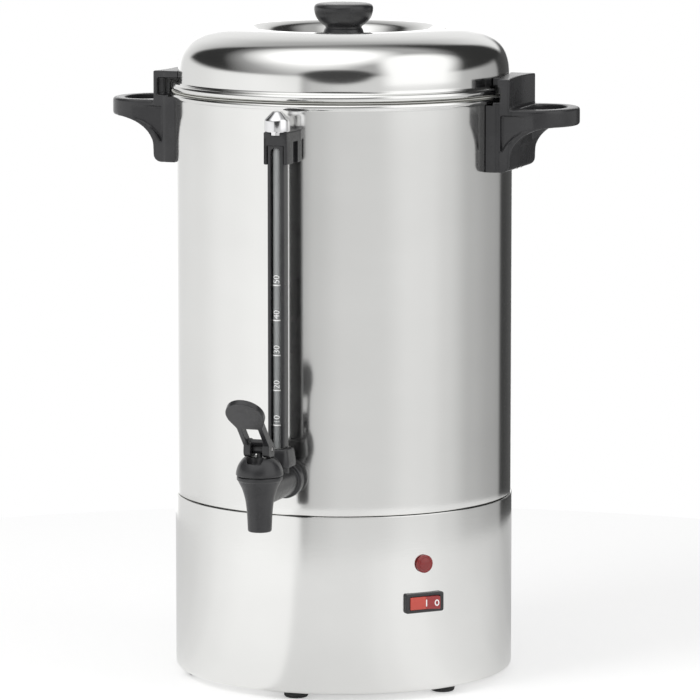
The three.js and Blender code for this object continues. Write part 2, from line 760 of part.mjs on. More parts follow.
function makeGaugeSocket() {
  const body = loft([squareRing(11.2, 4, 172.3), squareRing(10.9, 4, 177), squareRing(9.4, 3, gaugeBottom)]);
  return cut(body, rod(2.6, 170, 176, 8), rod(3.6, 175, 190, 12), rod(6.4, 181.6, 190, 12));
}

const guardWidth = 12.2;
const guardFront = 4.5;
const guardBack = 5.9;

function makeGuard() {
  const top = bandBottom - gap;
  const outline = roundedRectangle(guardWidth, guardFront + guardBack, 1.5);
  const body = plate(outline, top - gaugeBottom - gap, 4);
  body.translate(0, (guardBack - guardFront) / 2, gaugeBottom + gap);
  const channel = block([-3.7, 3.7], [-10, 3.6], [gaugeBottom - 1, top - 4.9]);
  const channelEnd = barY(3.7, -10, 3.6, 12).translate(0, 0, top - 4.9);
  return cut(body, channel, channelEnd, rod(3.7, 390, 405, 12));
}

function makeClip() {
  const front = -gaugeReach - 4.8;
  const body = block([-8.7, 8.7], [front, -119], [clipBottom, clipTop]);
  const waists = [-1, 1].map((side) => (
    block([side > 0 ? 6.4 : -12, side > 0 ? 12 : -6.4], [-137, -127], [clipBottom - 1, clipTop - 7.4])
  ));
  const slotHalf = guardWidth / 2 + gap;
  const slotBack = guardBack + gap - gaugeReach;
  const guardSlot = block([-slotHalf, slotHalf], [front - 1, slotBack], [clipBottom - 1, bandBottom]);
  const tubeHole = rod(3.7, bandBottom - 1, clipTop + 1, 12).translate(0, -gaugeReach, 0);
  const capSeat = rod(5.9, 405.2, clipTop + 1, 12).translate(0, -gaugeReach, 0);
  return cut(body, ...waists, guardSlot, wallSpace(bodyRadius, 380, 412), tubeHole, capSeat);
}

function makeGaugeCap() {
  return revolve([
    [0, 405.6], [5.5, 405.6], [5.5, clipTop + gap], [8.8, clipTop + gap], [9, 409], [9, 415.8], [8.6, 416.6],
    [3.2, 422], [0, 422.4],
  ], 12);
}

function makeGauge() {
  const aboutTube = group(
    piece('gauge_socket', makeGaugeSocket(), blackPlastic()),
    piece('gauge_seal', tube(3.6, 6, 181.9, 185.3, 12), silicone()),
    piece('gauge_tube', tube(2.1, 3.2, 176.3, 405, 12), clearGlass()),
    piece('gauge_guard', makeGuard(), blackPlastic()),
    piece('gauge_cap', makeGaugeCap(), chrome()),
  );
  aboutTube.position.y = -gaugeReach;
  return group(aboutTube, piece('gauge_clip', makeClip(), blackPlastic()));
}

// Lid: a spun dome with a dish round the knob, a rolled flange with two notches that pass the handles' hooks
function lidSkinRow() {
  const curve = new THREE.SplineCurve([
    [lidWallRadius, lidFlangeTop + 0.2], [lidWallRadius, 444], [118.4, 452.4], [114.2, 459], [106, 465],
    [94, 469.4], [80, 471.6], [69.5, crestHeight], [62.6, 469.6], [55.5, 463.4], [47, dishHeight + 0.7],
    [38, dishHeight],
  ].map(([radius, height]) => new THREE.Vector2(radius, height)));
  return curve.getSpacedPoints(6).map((p) => [p.x, p.y]);
}

// What is cut from a ring so that it can be lifted past the two hooks
const notchStart = THREE.MathUtils.degToRad(-11.5);
const notchEnd = THREE.MathUtils.degToRad(17.2);

function hookNotches(from, to) {
  return [0, Math.PI].map((handle) => {
    const [start, end] = [notchStart, notchEnd];
    const outline = new THREE.Shape();
    outline.absarc(0, 0, beadRadius + 5, handle + start, handle + end, false);
    outline.absarc(0, 0, lidWallRadius + 0.15, handle + end, handle + start, true);
    return plate(outline, to - from, 4).translate(0, 0, from);
  });
}

function makeLid() {
  const outside = lidSkinRow();
  const inside = offsetRow(outside, sheet).reverse();
  const screwHole = 2.8;
  const flangeMiddle = (lidFlangeHeight + lidFlangeTop) / 2;
  const flangeHalf = (lidFlangeTop - lidFlangeHeight) / 2;
  const profile = [
    [lidWallRadius - sheet, lidFlangeHeight],
    ...arcPoints([beadRadius - flangeHalf, flangeMiddle], flangeHalf, -90, 90, 3),
    ...outside,
    [screwHole, dishHeight],
    [screwHole, dishHeight - sheet],
    ...inside,
  ];
  const steamHole = rod(1.6, 460, 480, 8).translate(77, 0, 0);
  const notches = hookNotches(lidFlangeHeight - 1, lidFlangeTop + 1);
  return cut(revolveRing(profile, roundFacets), ...notches, steamHole);
}

function makeLidSeal() {
  const ring = revolveRing([
    [117, 419.5], [120.4, 419.5], [120.4, rimHeight + gap], [123.6, rimHeight + gap],
    [123.6, lidFlangeHeight - gap], [117, lidFlangeHeight - gap],
  ], roundFacets);
  return cut(ring, ...hookNotches(418, lidFlangeHeight));
}

function makeKnob() {
  const foot = dishHeight + gap;
  const skin = revolve([
    [0, foot], [17.4, foot], [17.5, 462], [16.6, 466], [15.2, 468.8], [14, 471], [13.4, 472.6], [14.2, 474.2],
    [17.6, 478.6], [20.6, 483.2], [21.4, 485.6], [20.8, 487.4], [18.6, 488.3], [12, knobTopHeight],
    [0, knobTopHeight],
  ], 20);
  return cut(skin, rod(2.7, foot - 1, 474, 12));
}

function makeKnobScrew() {
  const underside = dishHeight - sheet - gap;
  return revolve([
    [0, underside - 2.6], [3.6, underside - 2.6], [5, underside - 1.4], [5, underside], [2.3, underside],
    [2.3, 472], [0, 472],
  ], 10);
}

function makeLidSet() {
  return group(
    piece('lid', makeLid(), polishedSteel()),
    piece('lid_seal', makeLidSeal(), silicone()),
    piece('knob', makeKnob(), blackPlastic()),
    piece('knob_screw', makeKnobScrew(), plainSteel()),
  );
}

// Filter set: a bell in the tank's well, a riser pipe, and a perforated basket with a spreader on it
function makePumpFoot() {
  const floor = seamHeight - wellDepth + 1.2 + gap;
  return revolveRing([
    [22, floor], [23.4, floor], [23.4, floor + 3], [9.4, floor + 12],
    [8.2, floor + 16], [riserRadius + gap, floor + 16],
    [riserRadius + gap, floor + 12.6], [21.8, floor + 2.4],
  ], 20);
}

function makeRiser() {
  const foot = seamHeight - wellDepth + 1.2 + gap + 12.9;
  return revolveRing([
    [riserRadius - 1, foot], [riserRadius, foot], [riserRadius, basketBottom - 4], [9.5, basketBottom - 4],
    [9.5, basketBottom - gap], [riserRadius, basketBottom - gap], [riserRadius, riserTop],
    [riserRadius - 1, riserTop],
  ], 12);
}

// A disc of evenly spread holes, ring by ring round a central hole
function sieve(radius, centralHole, ringRadii, holeRadius, pitch) {
  const outline = circleOutline(radius, 28);
  outline.holes.push(circleOutline(centralHole, 12));
  ringRadii.forEach((ringRadius, ring) => {
    const count = Math.round(fullTurn * ringRadius / pitch);
    for (let i = 0; i < count; i += 1) {
      const angle = fullTurn * (i + (ring % 2) / 2) / count;
      const [x, y] = [ringRadius * Math.cos(angle), ringRadius * Math.sin(angle)];
      outline.holes.push(circleOutline(holeRadius, 6, x, y));
    }
  });
  return outline;
}

function makeBasket() {
  const floor = plate(sieve(basketRadius - 0.5, riserRadius + 1, [28, 54], 2.6, 32), 1.2);
  const wall = revolveRing([
    [basketRadius - 1, basketBottom], [basketRadius, basketBottom], [basketRadius, basketTop - 2],
    [basketRadius + 5, basketTop - 2], [basketRadius + 5, basketTop], [basketRadius - 1, basketTop],
  ], 28);
  const collar = tube(riserRadius + gap, riserRadius + 2, basketBottom, basketBottom + 14, 12);
  return join(floor.translate(0, 0, basketBottom), wall, collar);
}

function makeSpreader() {
  const disc = plate(sieve(basketRadius + 4.6, riserRadius + gap + 0.1, [46], 2.4, 32), 1);
  const rim = tube(basketRadius + 3.4, basketRadius + 4.6, basketTop + gap, basketTop + 6, 28);
  return join(disc.translate(0, 0, basketTop + gap), rim);
}

function makeFilterSet() {
  return group(
    piece('pump_foot', makePumpFoot(), plainSteel()),
    piece('riser_tube', makeRiser(), plainSteel()),
    piece('basket', makeBasket(), aluminium()),
    piece('spreader', makeSpreader(), aluminium()),
  );
}

const urn = group(
  makeBase(),
  makeElectrics(),
  makePanel(),
  piece('tank', makeTank(), polishedSteel()),
  makeHandleSet('right', 0),
  makeHandleSet('left', Math.PI),
  makeTap(),
  makeGauge(),
  makeLidSet(),
  makeFilterSet(),
);
urn.position.y = axisBehindOrigin;

export default group(urn);
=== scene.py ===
import math
import bmesh
import bpy
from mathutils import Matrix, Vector


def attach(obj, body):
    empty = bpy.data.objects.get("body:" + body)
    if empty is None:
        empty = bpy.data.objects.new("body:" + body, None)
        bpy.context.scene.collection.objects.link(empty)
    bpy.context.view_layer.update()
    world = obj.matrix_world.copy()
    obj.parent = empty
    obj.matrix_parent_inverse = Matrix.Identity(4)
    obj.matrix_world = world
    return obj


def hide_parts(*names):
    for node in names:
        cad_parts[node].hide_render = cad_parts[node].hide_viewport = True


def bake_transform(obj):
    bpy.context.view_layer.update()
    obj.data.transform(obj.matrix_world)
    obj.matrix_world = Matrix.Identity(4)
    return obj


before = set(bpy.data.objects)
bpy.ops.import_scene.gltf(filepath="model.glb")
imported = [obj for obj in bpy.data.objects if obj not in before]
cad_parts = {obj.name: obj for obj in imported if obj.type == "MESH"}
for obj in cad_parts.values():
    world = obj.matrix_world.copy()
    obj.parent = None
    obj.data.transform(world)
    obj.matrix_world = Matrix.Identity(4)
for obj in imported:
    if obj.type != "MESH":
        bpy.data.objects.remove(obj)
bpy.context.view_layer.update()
print("frame loaded")

# Pieces are modelled in millimetres about the vessel's own axis, then made metres in the frame
mm = 0.001
vesselAxis = Vector((0, 0.0502, 0))
fullTurn = 2 * math.pi
mergeDistance = 0.002

# The switch and the lamp stand on the base to the right of the tap
panelAngle = math.radians(46)


# Working with the mesh tools

def clearSelection():
    if bpy.context.object and bpy.context.object.mode != "OBJECT":
        bpy.ops.object.mode_set(mode="OBJECT")
    bpy.ops.object.select_all(action="DESELECT")


def makeActive(piece):
    clearSelection()
    piece.select_set(True)
    bpy.context.view_layer.objects.active = piece


# Runs an operator that adds an object, and names what it made
def addObject(name, operator, **settings):
    clearSelection()
    operator(**settings)
    bpy.context.object.name = name
    return bpy.context.object


def applyTransform():
    bpy.ops.object.transform_apply(location=True, rotation=True, scale=True)


# Opens a piece's mesh with all of it selected, or none
def editPiece(piece, kind="VERT", action="SELECT"):
    makeActive(piece)
    bpy.ops.object.mode_set(mode="EDIT")
    bpy.ops.mesh.select_mode(type=kind)
    bpy.ops.mesh.select_all(action=action)


def endEdit():
    bpy.ops.object.mode_set(mode="OBJECT")


def drawOut(step):
    bpy.ops.mesh.extrude_region_move(TRANSFORM_OT_translate={"value": step})


def addModifier(piece, kind, **settings):
    makeActive(piece)
    bpy.ops.object.modifier_add(type=kind)
    modifier = piece.modifiers[-1]
    for name, value in settings.items():
        setattr(modifier, name, value)
    bpy.ops.object.modifier_apply(modifier=modifier.name)
    return piece


# A row of edges: one vertex, then an extrusion for each further point
def drawChain(name, points):
    piece = addObject(name, bpy.ops.mesh.primitive_plane_add, size=1, location=points[0])
    applyTransform()
    editPiece(piece)
    bpy.ops.mesh.merge(type="CENTER")
    for before, after in zip(points, points[1:]):
        drawOut(Vector(after) - Vector(before))
    endEdit()
    return piece


def closeMesh(piece):
    editPiece(piece)
    bpy.ops.mesh.remove_doubles(threshold=mergeDistance)
    bpy.ops.mesh.normals_make_consistent(inside=False)
    endEdit()
    return piece


# A profile of (radius, height) points spun about the standing axis
def spinProfile(name, profile, steps, closed=False):
    points = [(radius, 0, height) for radius, height in profile]
    if closed:
        points.append(points[0])
    piece = drawChain(name, points)
    editPiece(piece)
    bpy.ops.mesh.spin(steps=steps, angle=fullTurn, center=(0, 0, 0), axis=(0, 0, 1))
    endEdit()
    return closeMesh(piece)


# A flat outline filled and drawn out along an axis; its points have the other two coordinates
def extrudeOutline(name, axis, outline, start, end):
    points = [{"X": (start, a, b), "Y": (a, start, b), "Z": (a, b, start)}[axis] for a, b in outline]
    piece = drawChain(name, points + [points[0]])
    editPiece(piece)
    bpy.ops.mesh.remove_doubles(threshold=mergeDistance)
    bpy.ops.mesh.select_all(action="SELECT")
    bpy.ops.mesh.edge_face_add()
    step = Vector((0, 0, 0))
    step["XYZ".index(axis)] = end - start
    drawOut(step)
    endEdit()
    return closeMesh(piece)


def block(name, x, y, z):
    middle = [(a + b) / 2 for a, b in (x, y, z)]
    piece = addObject(name, bpy.ops.mesh.primitive_cube_add, size=1, location=middle)
    piece.scale = [b - a for a, b in (x, y, z)]
    applyTransform()
    return piece


turnOf = {"X": (0, math.pi / 2, 0), "Y": (math.pi / 2, 0, 0), "Z": (0, 0, 0)}


# A round bar between two places on an axis; the other two coordinates say where that axis is
def bar(name, axis, radius, start, end, place=(0, 0, 0), sides=64):
    middle = Vector(place)
    middle["XYZ".index(axis)] = (start + end) / 2
    piece = addObject(
        name, bpy.ops.mesh.primitive_cylinder_add, vertices=sides, radius=radius, depth=abs(end - start),
        location=middle, rotation=turnOf[axis],
    )
    applyTransform()
    return piece


def shapeWith(piece, operation, *tools):
    for tool in tools:
        addModifier(piece, "BOOLEAN", operation=operation, solver="EXACT", object=tool)
        bpy.data.objects.remove(tool, do_unlink=True)
    return piece


def joinTo(piece, *others):
    return shapeWith(piece, "UNION", *others)


def cutFrom(piece, *tools):
    return shapeWith(piece, "DIFFERENCE", *tools)


# Turns a built-up solid into one moulding with softened edges
def mould(piece, voxel, soften, keep):
    addModifier(piece, "REMESH", mode="VOXEL", voxel_size=voxel)
    addModifier(piece, "SMOOTH", factor=0.5, iterations=soften)
    return addModifier(piece, "DECIMATE", ratio=keep)


def bevelEdges(piece, width, segments, angle=35):
    return addModifier(
        piece, "BEVEL", width=width, segments=segments, limit_method="ANGLE",
        angle_limit=math.radians(angle), harden_normals=False,
    )


# The rotate operator turns the other way, so the angle is given to it negated
def turnPiece(piece, angle, axis="Z", centre=(0, 0, 0)):
    editPiece(piece)
    bpy.ops.transform.rotate(value=-angle, orient_axis=axis, orient_type="GLOBAL", center_override=centre)
    endEdit()
    return piece


def movePiece(piece, step):
    editPiece(piece)
    bpy.ops.transform.translate(value=step)
    endEdit()
    return piece


def copyPiece(piece, name):
    makeActive(piece)
    bpy.ops.object.duplicate(linked=False)
    twin = bpy.context.object
    twin.name = name
    return twin


# Puts a finished piece in the frame, gives it its finish and says what it rides on and stands for
def settle(piece, finish, body, replaced, smoothAngle=35, place=(0, 0, 0)):
    makeActive(piece)
    piece.scale = (mm, mm, mm)
    piece.location = vesselAxis + Vector(place) * mm
    applyTransform()
    bpy.ops.object.shade_smooth_by_angle(angle=math.radians(smoothAngle), keep_sharp_edges=False)
    piece.data.name = piece.name
    piece.data.materials.clear()
    piece.data.materials.append(finish.material)
    if body:
        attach(piece, body)
    if replaced:
        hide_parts(*replaced)
    return piece


# Curves for profiles and outlines

def arc(centre, radius, start, end, steps):
    points = []
    for i in range(steps + 1):
        angle = math.radians(start + (end - start) * i / steps)
        points.append((centre[0] + radius * math.cos(angle), centre[1] + radius * math.sin(angle)))
    return points


def ellipseArc(centre, radii, start, end, steps):
    return [
        (centre[0] + radii[0] * x, centre[1] + radii[1] * y)
        for x, y in arc((0, 0), 1, start, end, steps)
    ]


# A smooth row through a few points, each stretch a cubic that leans on its neighbours
def smoothRow(points, steps):
    row = []
    for i in range(len(points) - 1):
        a, b, c, d = (Vector(points[min(max(i + k, 0), len(points) - 1)]) for k in (-1, 0, 1, 2))
        for s in range(steps):
            t = s / steps
            place = b + (c - a) * 0.5 * t + (2 * a - 5 * b + 4 * c - d) * 0.5 * t * t
            place += (3 * b - a - 3 * c + d) * 0.5 * t * t * t
            row.append((place.x, place.y))
    return row + [tuple(points[-1])]


# A row moved sideways by a thickness, to the left of its direction
def offsetRow(row, distance):
    moved = []
    for i, (r, z) in enumerate(row):
        before, after = row[max(i - 1, 0)], row[min(i + 1, len(row) - 1)]
        run, rise = after[0] - before[0], after[1] - before[1]
        length = math.hypot(run, rise)
        moved.append((r - rise / length * distance, z + run / length * distance))
    return moved


def roundedOutline(width, height, corner):
    x, y = width / 2 - corner, height / 2 - corner
    outline = []
    for i, centre in enumerate(((x, -y), (x, y), (-x, y), (-x, -y))):
        outline += arc(centre, corner, 90 * i - 90, 90 * i, 6)
    return outline


# Shader maths: a socket that takes part in Python expressions
class Wire:
    def __init__(self, finish, socket):
        self.finish = finish
        self.socket = socket

    def maths(self, operation, first, second):
        return self.finish.node("ShaderNodeMath", {"operation": operation}, {0: first, 1: second})

    def __add__(self, other):
        return self.maths("ADD", self, other)

    def __sub__(self, other):
        return self.maths("SUBTRACT", self, other)

    def __rsub__(self, other):
        return self.maths("SUBTRACT", other, self)

    def __mul__(self, other):
        return self.maths("MULTIPLY", self, other)

    def __truediv__(self, other):
        return self.maths("DIVIDE", self, other)

    def __rtruediv__(self, other):
        return self.maths("DIVIDE", other, self)

    __radd__ = __add__
    __rmul__ = __mul__


class Finish:
    def __init__(self, name, slotName=None):
        self.material = bpy.data.materials.new(name)
        self.material.use_nodes = True
        self.tree = self.material.node_tree
        self.tree.nodes.clear()
        self.slotName = slotName

    def node(self, kind, settings=None, inputs=None, output=0):
        made = self.tree.nodes.new(kind)
        for name, value in (settings or {}).items():
            if name == "stops":
                elements = made.color_ramp.elements
                elements.remove(elements[1])
                elements[0].position, elements[0].color = value[0]
                for place, colour in value[1:]:
                    elements.new(place).color = colour
            elif name == "smoothing":
                made.color_ramp.interpolation = value
            else:
                setattr(made, name, value)
        for name, value in (inputs or {}).items():
            if isinstance(value, Wire):
                self.tree.links.new(value.socket, made.inputs[name])
            else:
                made.inputs[name].default_value = value
        return Wire(self, made.outputs[output]) if len(made.outputs) else None

    def place(self, stretch, centre):
        point = self.node("ShaderNodeTexCoord", output="Object")
        shift = [-c * s for c, s in zip(centre, stretch)]
        return self.node(
            "ShaderNodeMapping", inputs={"Vector": point, "Location": shift, "Scale": stretch},
        )

    def noise(self, scale, detail, stretch=(1, 1, 1), roughness=0.5, centre=(0, 0, 0)):
        values = {
            "Vector": self.place(stretch, centre), "Scale": scale, "Detail": detail,
            "Roughness": roughness,
        }
        return self.node("ShaderNodeTexNoise", {"noise_dimensions": "3D"}, values, "Fac")

    def blendColour(self, factor, first, second):
        settings = {"data_type": "RGBA", "blend_type": "MIX"}
        return self.node("ShaderNodeMix", settings, {0: factor, 6: first, 7: second}, 2)

    def bump(self, height, distance, strength=1.0, under=None):
        inputs = {"Height": height, "Distance": distance, "Strength": strength}
        if under:
            inputs["Normal"] = under
        return self.node("ShaderNodeBump", inputs=inputs)

    def between(self, value, low, high):
        return self.node("ShaderNodeMapRange", {"clamp": True}, {
            "Value": value, "From Min": low, "From Max": high, "To Min": 0.0, "To Max": 1.0,
        })

    def parts(self, vector):
        made = self.node("ShaderNodeSeparateXYZ", inputs={0: vector}).socket.node
        return [Wire(self, output) for output in made.outputs]

    # A soft-edged ellipse, one inside and nothing outside
    def patch(self, across, up, centre, radii, soft):
        run, rise = (across - centre[0]) / radii[0], (up - centre[1]) / radii[1]
        reach = self.node("ShaderNodeMath", {"operation": "SQRT"}, {0: run * run + rise * rise})
        return self.between(reach, 1 + soft, 1 - soft)

    def finishWith(self, **inputs):
        named = {name.replace("_", " "): value for name, value in inputs.items()}
        shader = self.node("ShaderNodeBsdfPrincipled", inputs=named)
        self.node("ShaderNodeOutputMaterial", inputs={"Surface": shader})
        return self


def grey(value):
    return (value, value, value, 1)


# Finishes
steelLook = {
    "colour": (0.80, 0.80, 0.785, 1), "smudge": (0.76, 0.76, 0.745, 1), "roughness": 0.085, "haze": 0.05,
    "grainHeight": 0.000004, "waveHeight": 0.00016,
}


# Mirror steel: faint turned grain round the vessel, wide soft waves in the sheet and a little haze
def makePolishedSteel(name):
    finish = Finish(name, "polished_steel")
    grain = finish.noise(90, 2, (0.6, 0.6, 26), centre=vesselAxis)
    haze = finish.noise(9, 4, (1, 1, 1.6))
    waves = finish.noise(5.5, 1, (1, 1, 0.45), centre=vesselAxis)
    wavy = finish.bump(waves, steelLook["waveHeight"])
    normal = finish.bump(grain, steelLook["grainHeight"], under=wavy)
    roughness = haze * steelLook["haze"] + steelLook["roughness"]
    colour = finish.blendColour(
        finish.between(haze, 0.35, 0.75), steelLook["colour"], steelLook["smudge"],
    )
    return finish.finishWith(
        Base_Color=colour, Metallic=1.0, Roughness=roughness + grain * 0.03, Normal=normal,
    )


plasticLook = {
    "colour": (0.026, 0.026, 0.028, 1), "worn": (0.040, 0.040, 0.042, 1), "roughness": 0.25,
    "texture": 0.00002,
}


# Satin moulding: a fine pebble and slightly rubbed patches
def makeBlackPlastic():
    finish = Finish("blackPlastic", "black_plastic")
    pebble = finish.noise(2600, 2, roughness=0.6)
    patches = finish.noise(38, 4)
    normal = finish.bump(pebble, plasticLook["texture"], 0.5)
    colour = finish.blendColour(
        finish.between(patches, 0.4, 0.7), plasticLook["colour"], plasticLook["worn"],
    )
    rough = patches * 0.14 + plasticLook["roughness"] + pebble * 0.05
    return finish.finishWith(Base_Color=colour, Roughness=rough - 0.07, Normal=normal, IOR=1.5)


# Plain metal: fine scratches and a soft cloud in its tone
def makePlainSteel(name, tone, roughness, slotName, tint):
    finish = Finish(name, slotName)
    scratch = finish.noise(260, 3, (1, 1, 9), roughness=0.65)
    cloud = finish.noise(30, 4)
    first = [tone * c for c in tint] + [1]
    second = [tone * 0.86 * c for c in tint] + [1]
    colour = finish.blendColour(finish.between(cloud, 0.35, 0.7), first, second)
    return finish.finishWith(
        Base_Color=colour, Metallic=1.0, Roughness=scratch * 0.16 + (roughness - 0.08),
        Normal=finish.bump(scratch, 0.000012),
    )


# Rubber, silicone, glass and the like: a fine grain and a cloud between two near tones
def makeSoft(name, slotName, first, second, roughness, **fixed):
    finish = Finish(name, slotName)
    fine = finish.noise(900, 3)
    cloud = finish.noise(45, 3)
    colour = finish.blendColour(finish.between(cloud, 0.35, 0.7), first, second)
    return finish.finishWith(
        Base_Color=colour, Roughness=fine * 0.12 + (roughness - 0.06), Normal=finish.bump(fine, 0.00003),
        **fixed,
    )


# Painted light on the rocker: a lit red and a shaded red for its two halves
rockerLook = {"lit": (0.78, 0.115, 0.085, 1), "shaded": (0.42, 0.055, 0.055, 1), "roughness": 0.28}


# Red moulding with painted light: the half that stands proud is painted lighter than the half that lies
# flush, as light falls on them
def makeRockerRed():
    finish = Finish("rockerPaintedLightRed", "red_plastic")
    x, y = finish.parts(finish.place((1, 1, 1), vesselAxis))[:2]
    across = x * math.cos(panelAngle) + y * math.sin(panelAngle)
    cloud = finish.noise(180, 3)
    lit = finish.blendColour(cloud, rockerLook["lit"], [c * 0.86 for c in rockerLook["lit"][:3]] + [1])
    # Painted light and shade: one half gets the lit red, the other the darker shaded red
    colour = finish.blendColour(finish.between(across, -0.0004, 0.0006), lit, rockerLook["shaded"])
    return finish.finishWith(Base_Color=colour, Roughness=cloud * 0.1 + rockerLook["roughness"])


polishedSteel = makePolishedSteel("polishedSteel")
blackPlastic = makeBlackPlastic()
plainSteel = makePlainSteel("plainSteel", 0.58, 0.32, "plain_steel", (1, 1, 0.985))
aluminium = makePlainSteel("aluminium", 0.72, 0.42, "aluminium", (0.99, 1, 1.01))
brass = makePlainSteel("brass", 0.7, 0.3, "brass", (1, 0.8, 0.4))
chromePlate = makePlainSteel("chromePlate", 0.84, 0.12, "chrome", (1, 1, 1.01))
blackRubber = makeSoft("blackRubber", "rubber", (0.016, 0.016, 0.017, 1), (0.028, 0.028, 0.029, 1), 0.72)
silicone = makeSoft("silicone", "silicone", (0.72, 0.72, 0.68, 1), (0.62, 0.62, 0.58, 1), 0.5, IOR=1.42)
rockerPaintedLightRed = makeRockerRed()
redLens = makeSoft("redLens", "red_plastic", (0.36, 0.045, 0.045, 1), (0.26, 0.03, 0.03, 1), 0.18)
# White print with a painted glow: its emission makes it brighter than the lamps alone would
whiteInkPaintedGlow = makeSoft(
    "whiteInkPaintedGlow", None, (0.94, 0.94, 0.93, 1), (0.88, 0.88, 0.87, 1), 0.5, Emission_Color=(1, 1, 1, 1),
    Emission_Strength=0.22,
)
clearGlass = makeSoft("clearGlass", "glass", (0.78, 0.8, 0.8, 1), (0.7, 0.72, 0.72, 1), 0.12, Alpha=0.4)
ceramic = makeSoft("ceramic", "ceramic", (0.78, 0.74, 0.65, 1), (0.7, 0.66, 0.57, 1), 0.75)
print("finishes made")


# The light: a pale floor, two soft lamps and a studio of soft boxes that only reflections see
studio = {
    "radius": 6, "floorRadius": 0.72, "floorTone": 0.82, "floorGlow": 0.42, "cameraSide": 18.5,
    "diffuseLevel": 0.56, "strength": 1.2,
    # Soft patches overhead and ahead, as the lid shows them: centre, radii and softness
    "crown": ((-0.02, 0.30), (0.90, 0.76), 0.12), "gap": ((-0.12, -1), (0.58, 0.5), 0.08),
    "window": ((-0.18, 0.27), (0.52, 0.55), 0.22), "rightBox": ((0.68, 0.42), (0.34, 0.54), 0.2),
    "ahead": ((-0.06, 0.26), (0.42, 0.21), 0.12),
}

# Brightness round the studio by angle from the camera, to its left and to its right
sideBands = [
    (-180, 1.7), (-166, 1.3), (-150, 0.84), (-118, 0.9), (-84, 1.04), (-58, 1.10), (-31, 1.04),
    (-27.5, 0.50), (-20, 0.66), (0, 0.78), (24, 0.78), (45, 0.88), (60, 0.86), (74, 0.76), (96, 0.54),
    (120, 0.44), (131.5, 0.40), (136, 0.05), (168, 0.1), (174, 1.2), (180, 1.7),
]


# How strongly the floor glows in the steel, by the same angle
floorBands = [
    (-180, 0.3), (-146, 0.33), (-118, 0.51), (-99, 0.68), (-84, 0.87), (-63, 1), (-33, 1), (-28, 0.51),
    (0, 0.58), (11, 0.62), (22, 0.78), (34, 0.95), (46, 0.97), (57, 0.8), (70, 0.68), (85, 0.6),
    (100, 0.47), (119, 0.32), (136, 0.1), (144, 0.02), (165, 0.1), (180, 0.3),
]


# The place on a staged piece, turned so that the camera is in front, and a tone by the angle round it
def aroundVessel(finish, levels, scale):
    point = finish.node("ShaderNodeTexCoord", output="Object")
    turned = finish.node("ShaderNodeVectorRotate", {"rotation_type": "Z_AXIS"}, {
        "Vector": point, "Angle": math.radians(-studio["cameraSide"]),
    })
    x, y, z = finish.parts(turned)
    angle = finish.node("ShaderNodeMath", {"operation": "ARCTAN2"}, {0: x, 1: 0 - y})
    stops = [((side + 180) / 360, grey(level / scale)) for side, level in levels]
    tone = finish.node(
        "ShaderNodeValToRGB", {"stops": stops, "smoothing": "EASE"}, {0: angle / fullTurn + 0.5}, "Color",
    )
    return x, y, z, tone


# The glossy rays, and all the rays that find the bright surroundings
def lightRays(finish):
    path = finish.node("ShaderNodeLightPath").socket.node
    names = ("Is Camera Ray", "Is Glossy Ray", "Is Transmission Ray")
    seen, glossy, through = (Wire(finish, path.outputs[name]) for name in names)
    settings = {"operation": "ADD", "use_clamp": True}
    return glossy, finish.node("ShaderNodeMath", settings, {0: seen + glossy, 1: through})


def makeWorld():
    world = bpy.data.worlds.new("studioWorld")
    bpy.context.scene.world = world
    world.use_nodes = True
    finish = Finish.__new__(Finish)
    finish.tree = world.node_tree
    finish.tree.nodes.clear()
    shown = lightRays(finish)[1]
    plain = finish.node(
        "ShaderNodeBackground", inputs={"Color": grey(1), "Strength": studio["diffuseLevel"]},
    )
    white = finish.node("ShaderNodeBackground", inputs={"Color": grey(1), "Strength": 1.0})
    mixed = finish.node("ShaderNodeMixShader", inputs={0: shown, 1: plain, 2: white})
    finish.node("ShaderNodeOutputWorld", inputs={"Surface": mixed})


def makeFloor():
    floor = addObject(
        "paleFloor", bpy.ops.mesh.primitive_circle_add, vertices=128, radius=studio["floorRadius"],
        fill_type="NGON", location=(0, vesselAxis.y, -0.0002),
    )
    finish = Finish("floorFinish")
    glossy, shown = lightRays(finish)
    cloth = finish.node("ShaderNodeBsdfDiffuse", inputs={"Color": grey(studio["floorTone"])})
    tone = aroundVessel(finish, floorBands, 1)[3]
    glow = finish.node("ShaderNodeEmission", inputs={
        "Color": finish.blendColour(glossy, grey(1), tone), "Strength": studio["floorGlow"],
    })
    lit = finish.node("ShaderNodeAddShader", inputs={0: cloth, 1: glow})
    mixed = finish.node("ShaderNodeMixShader", inputs={0: shown, 1: cloth, 2: lit})
    finish.node("ShaderNodeOutputMaterial", inputs={"Surface": mixed})
    floor.data.materials.append(finish.material)


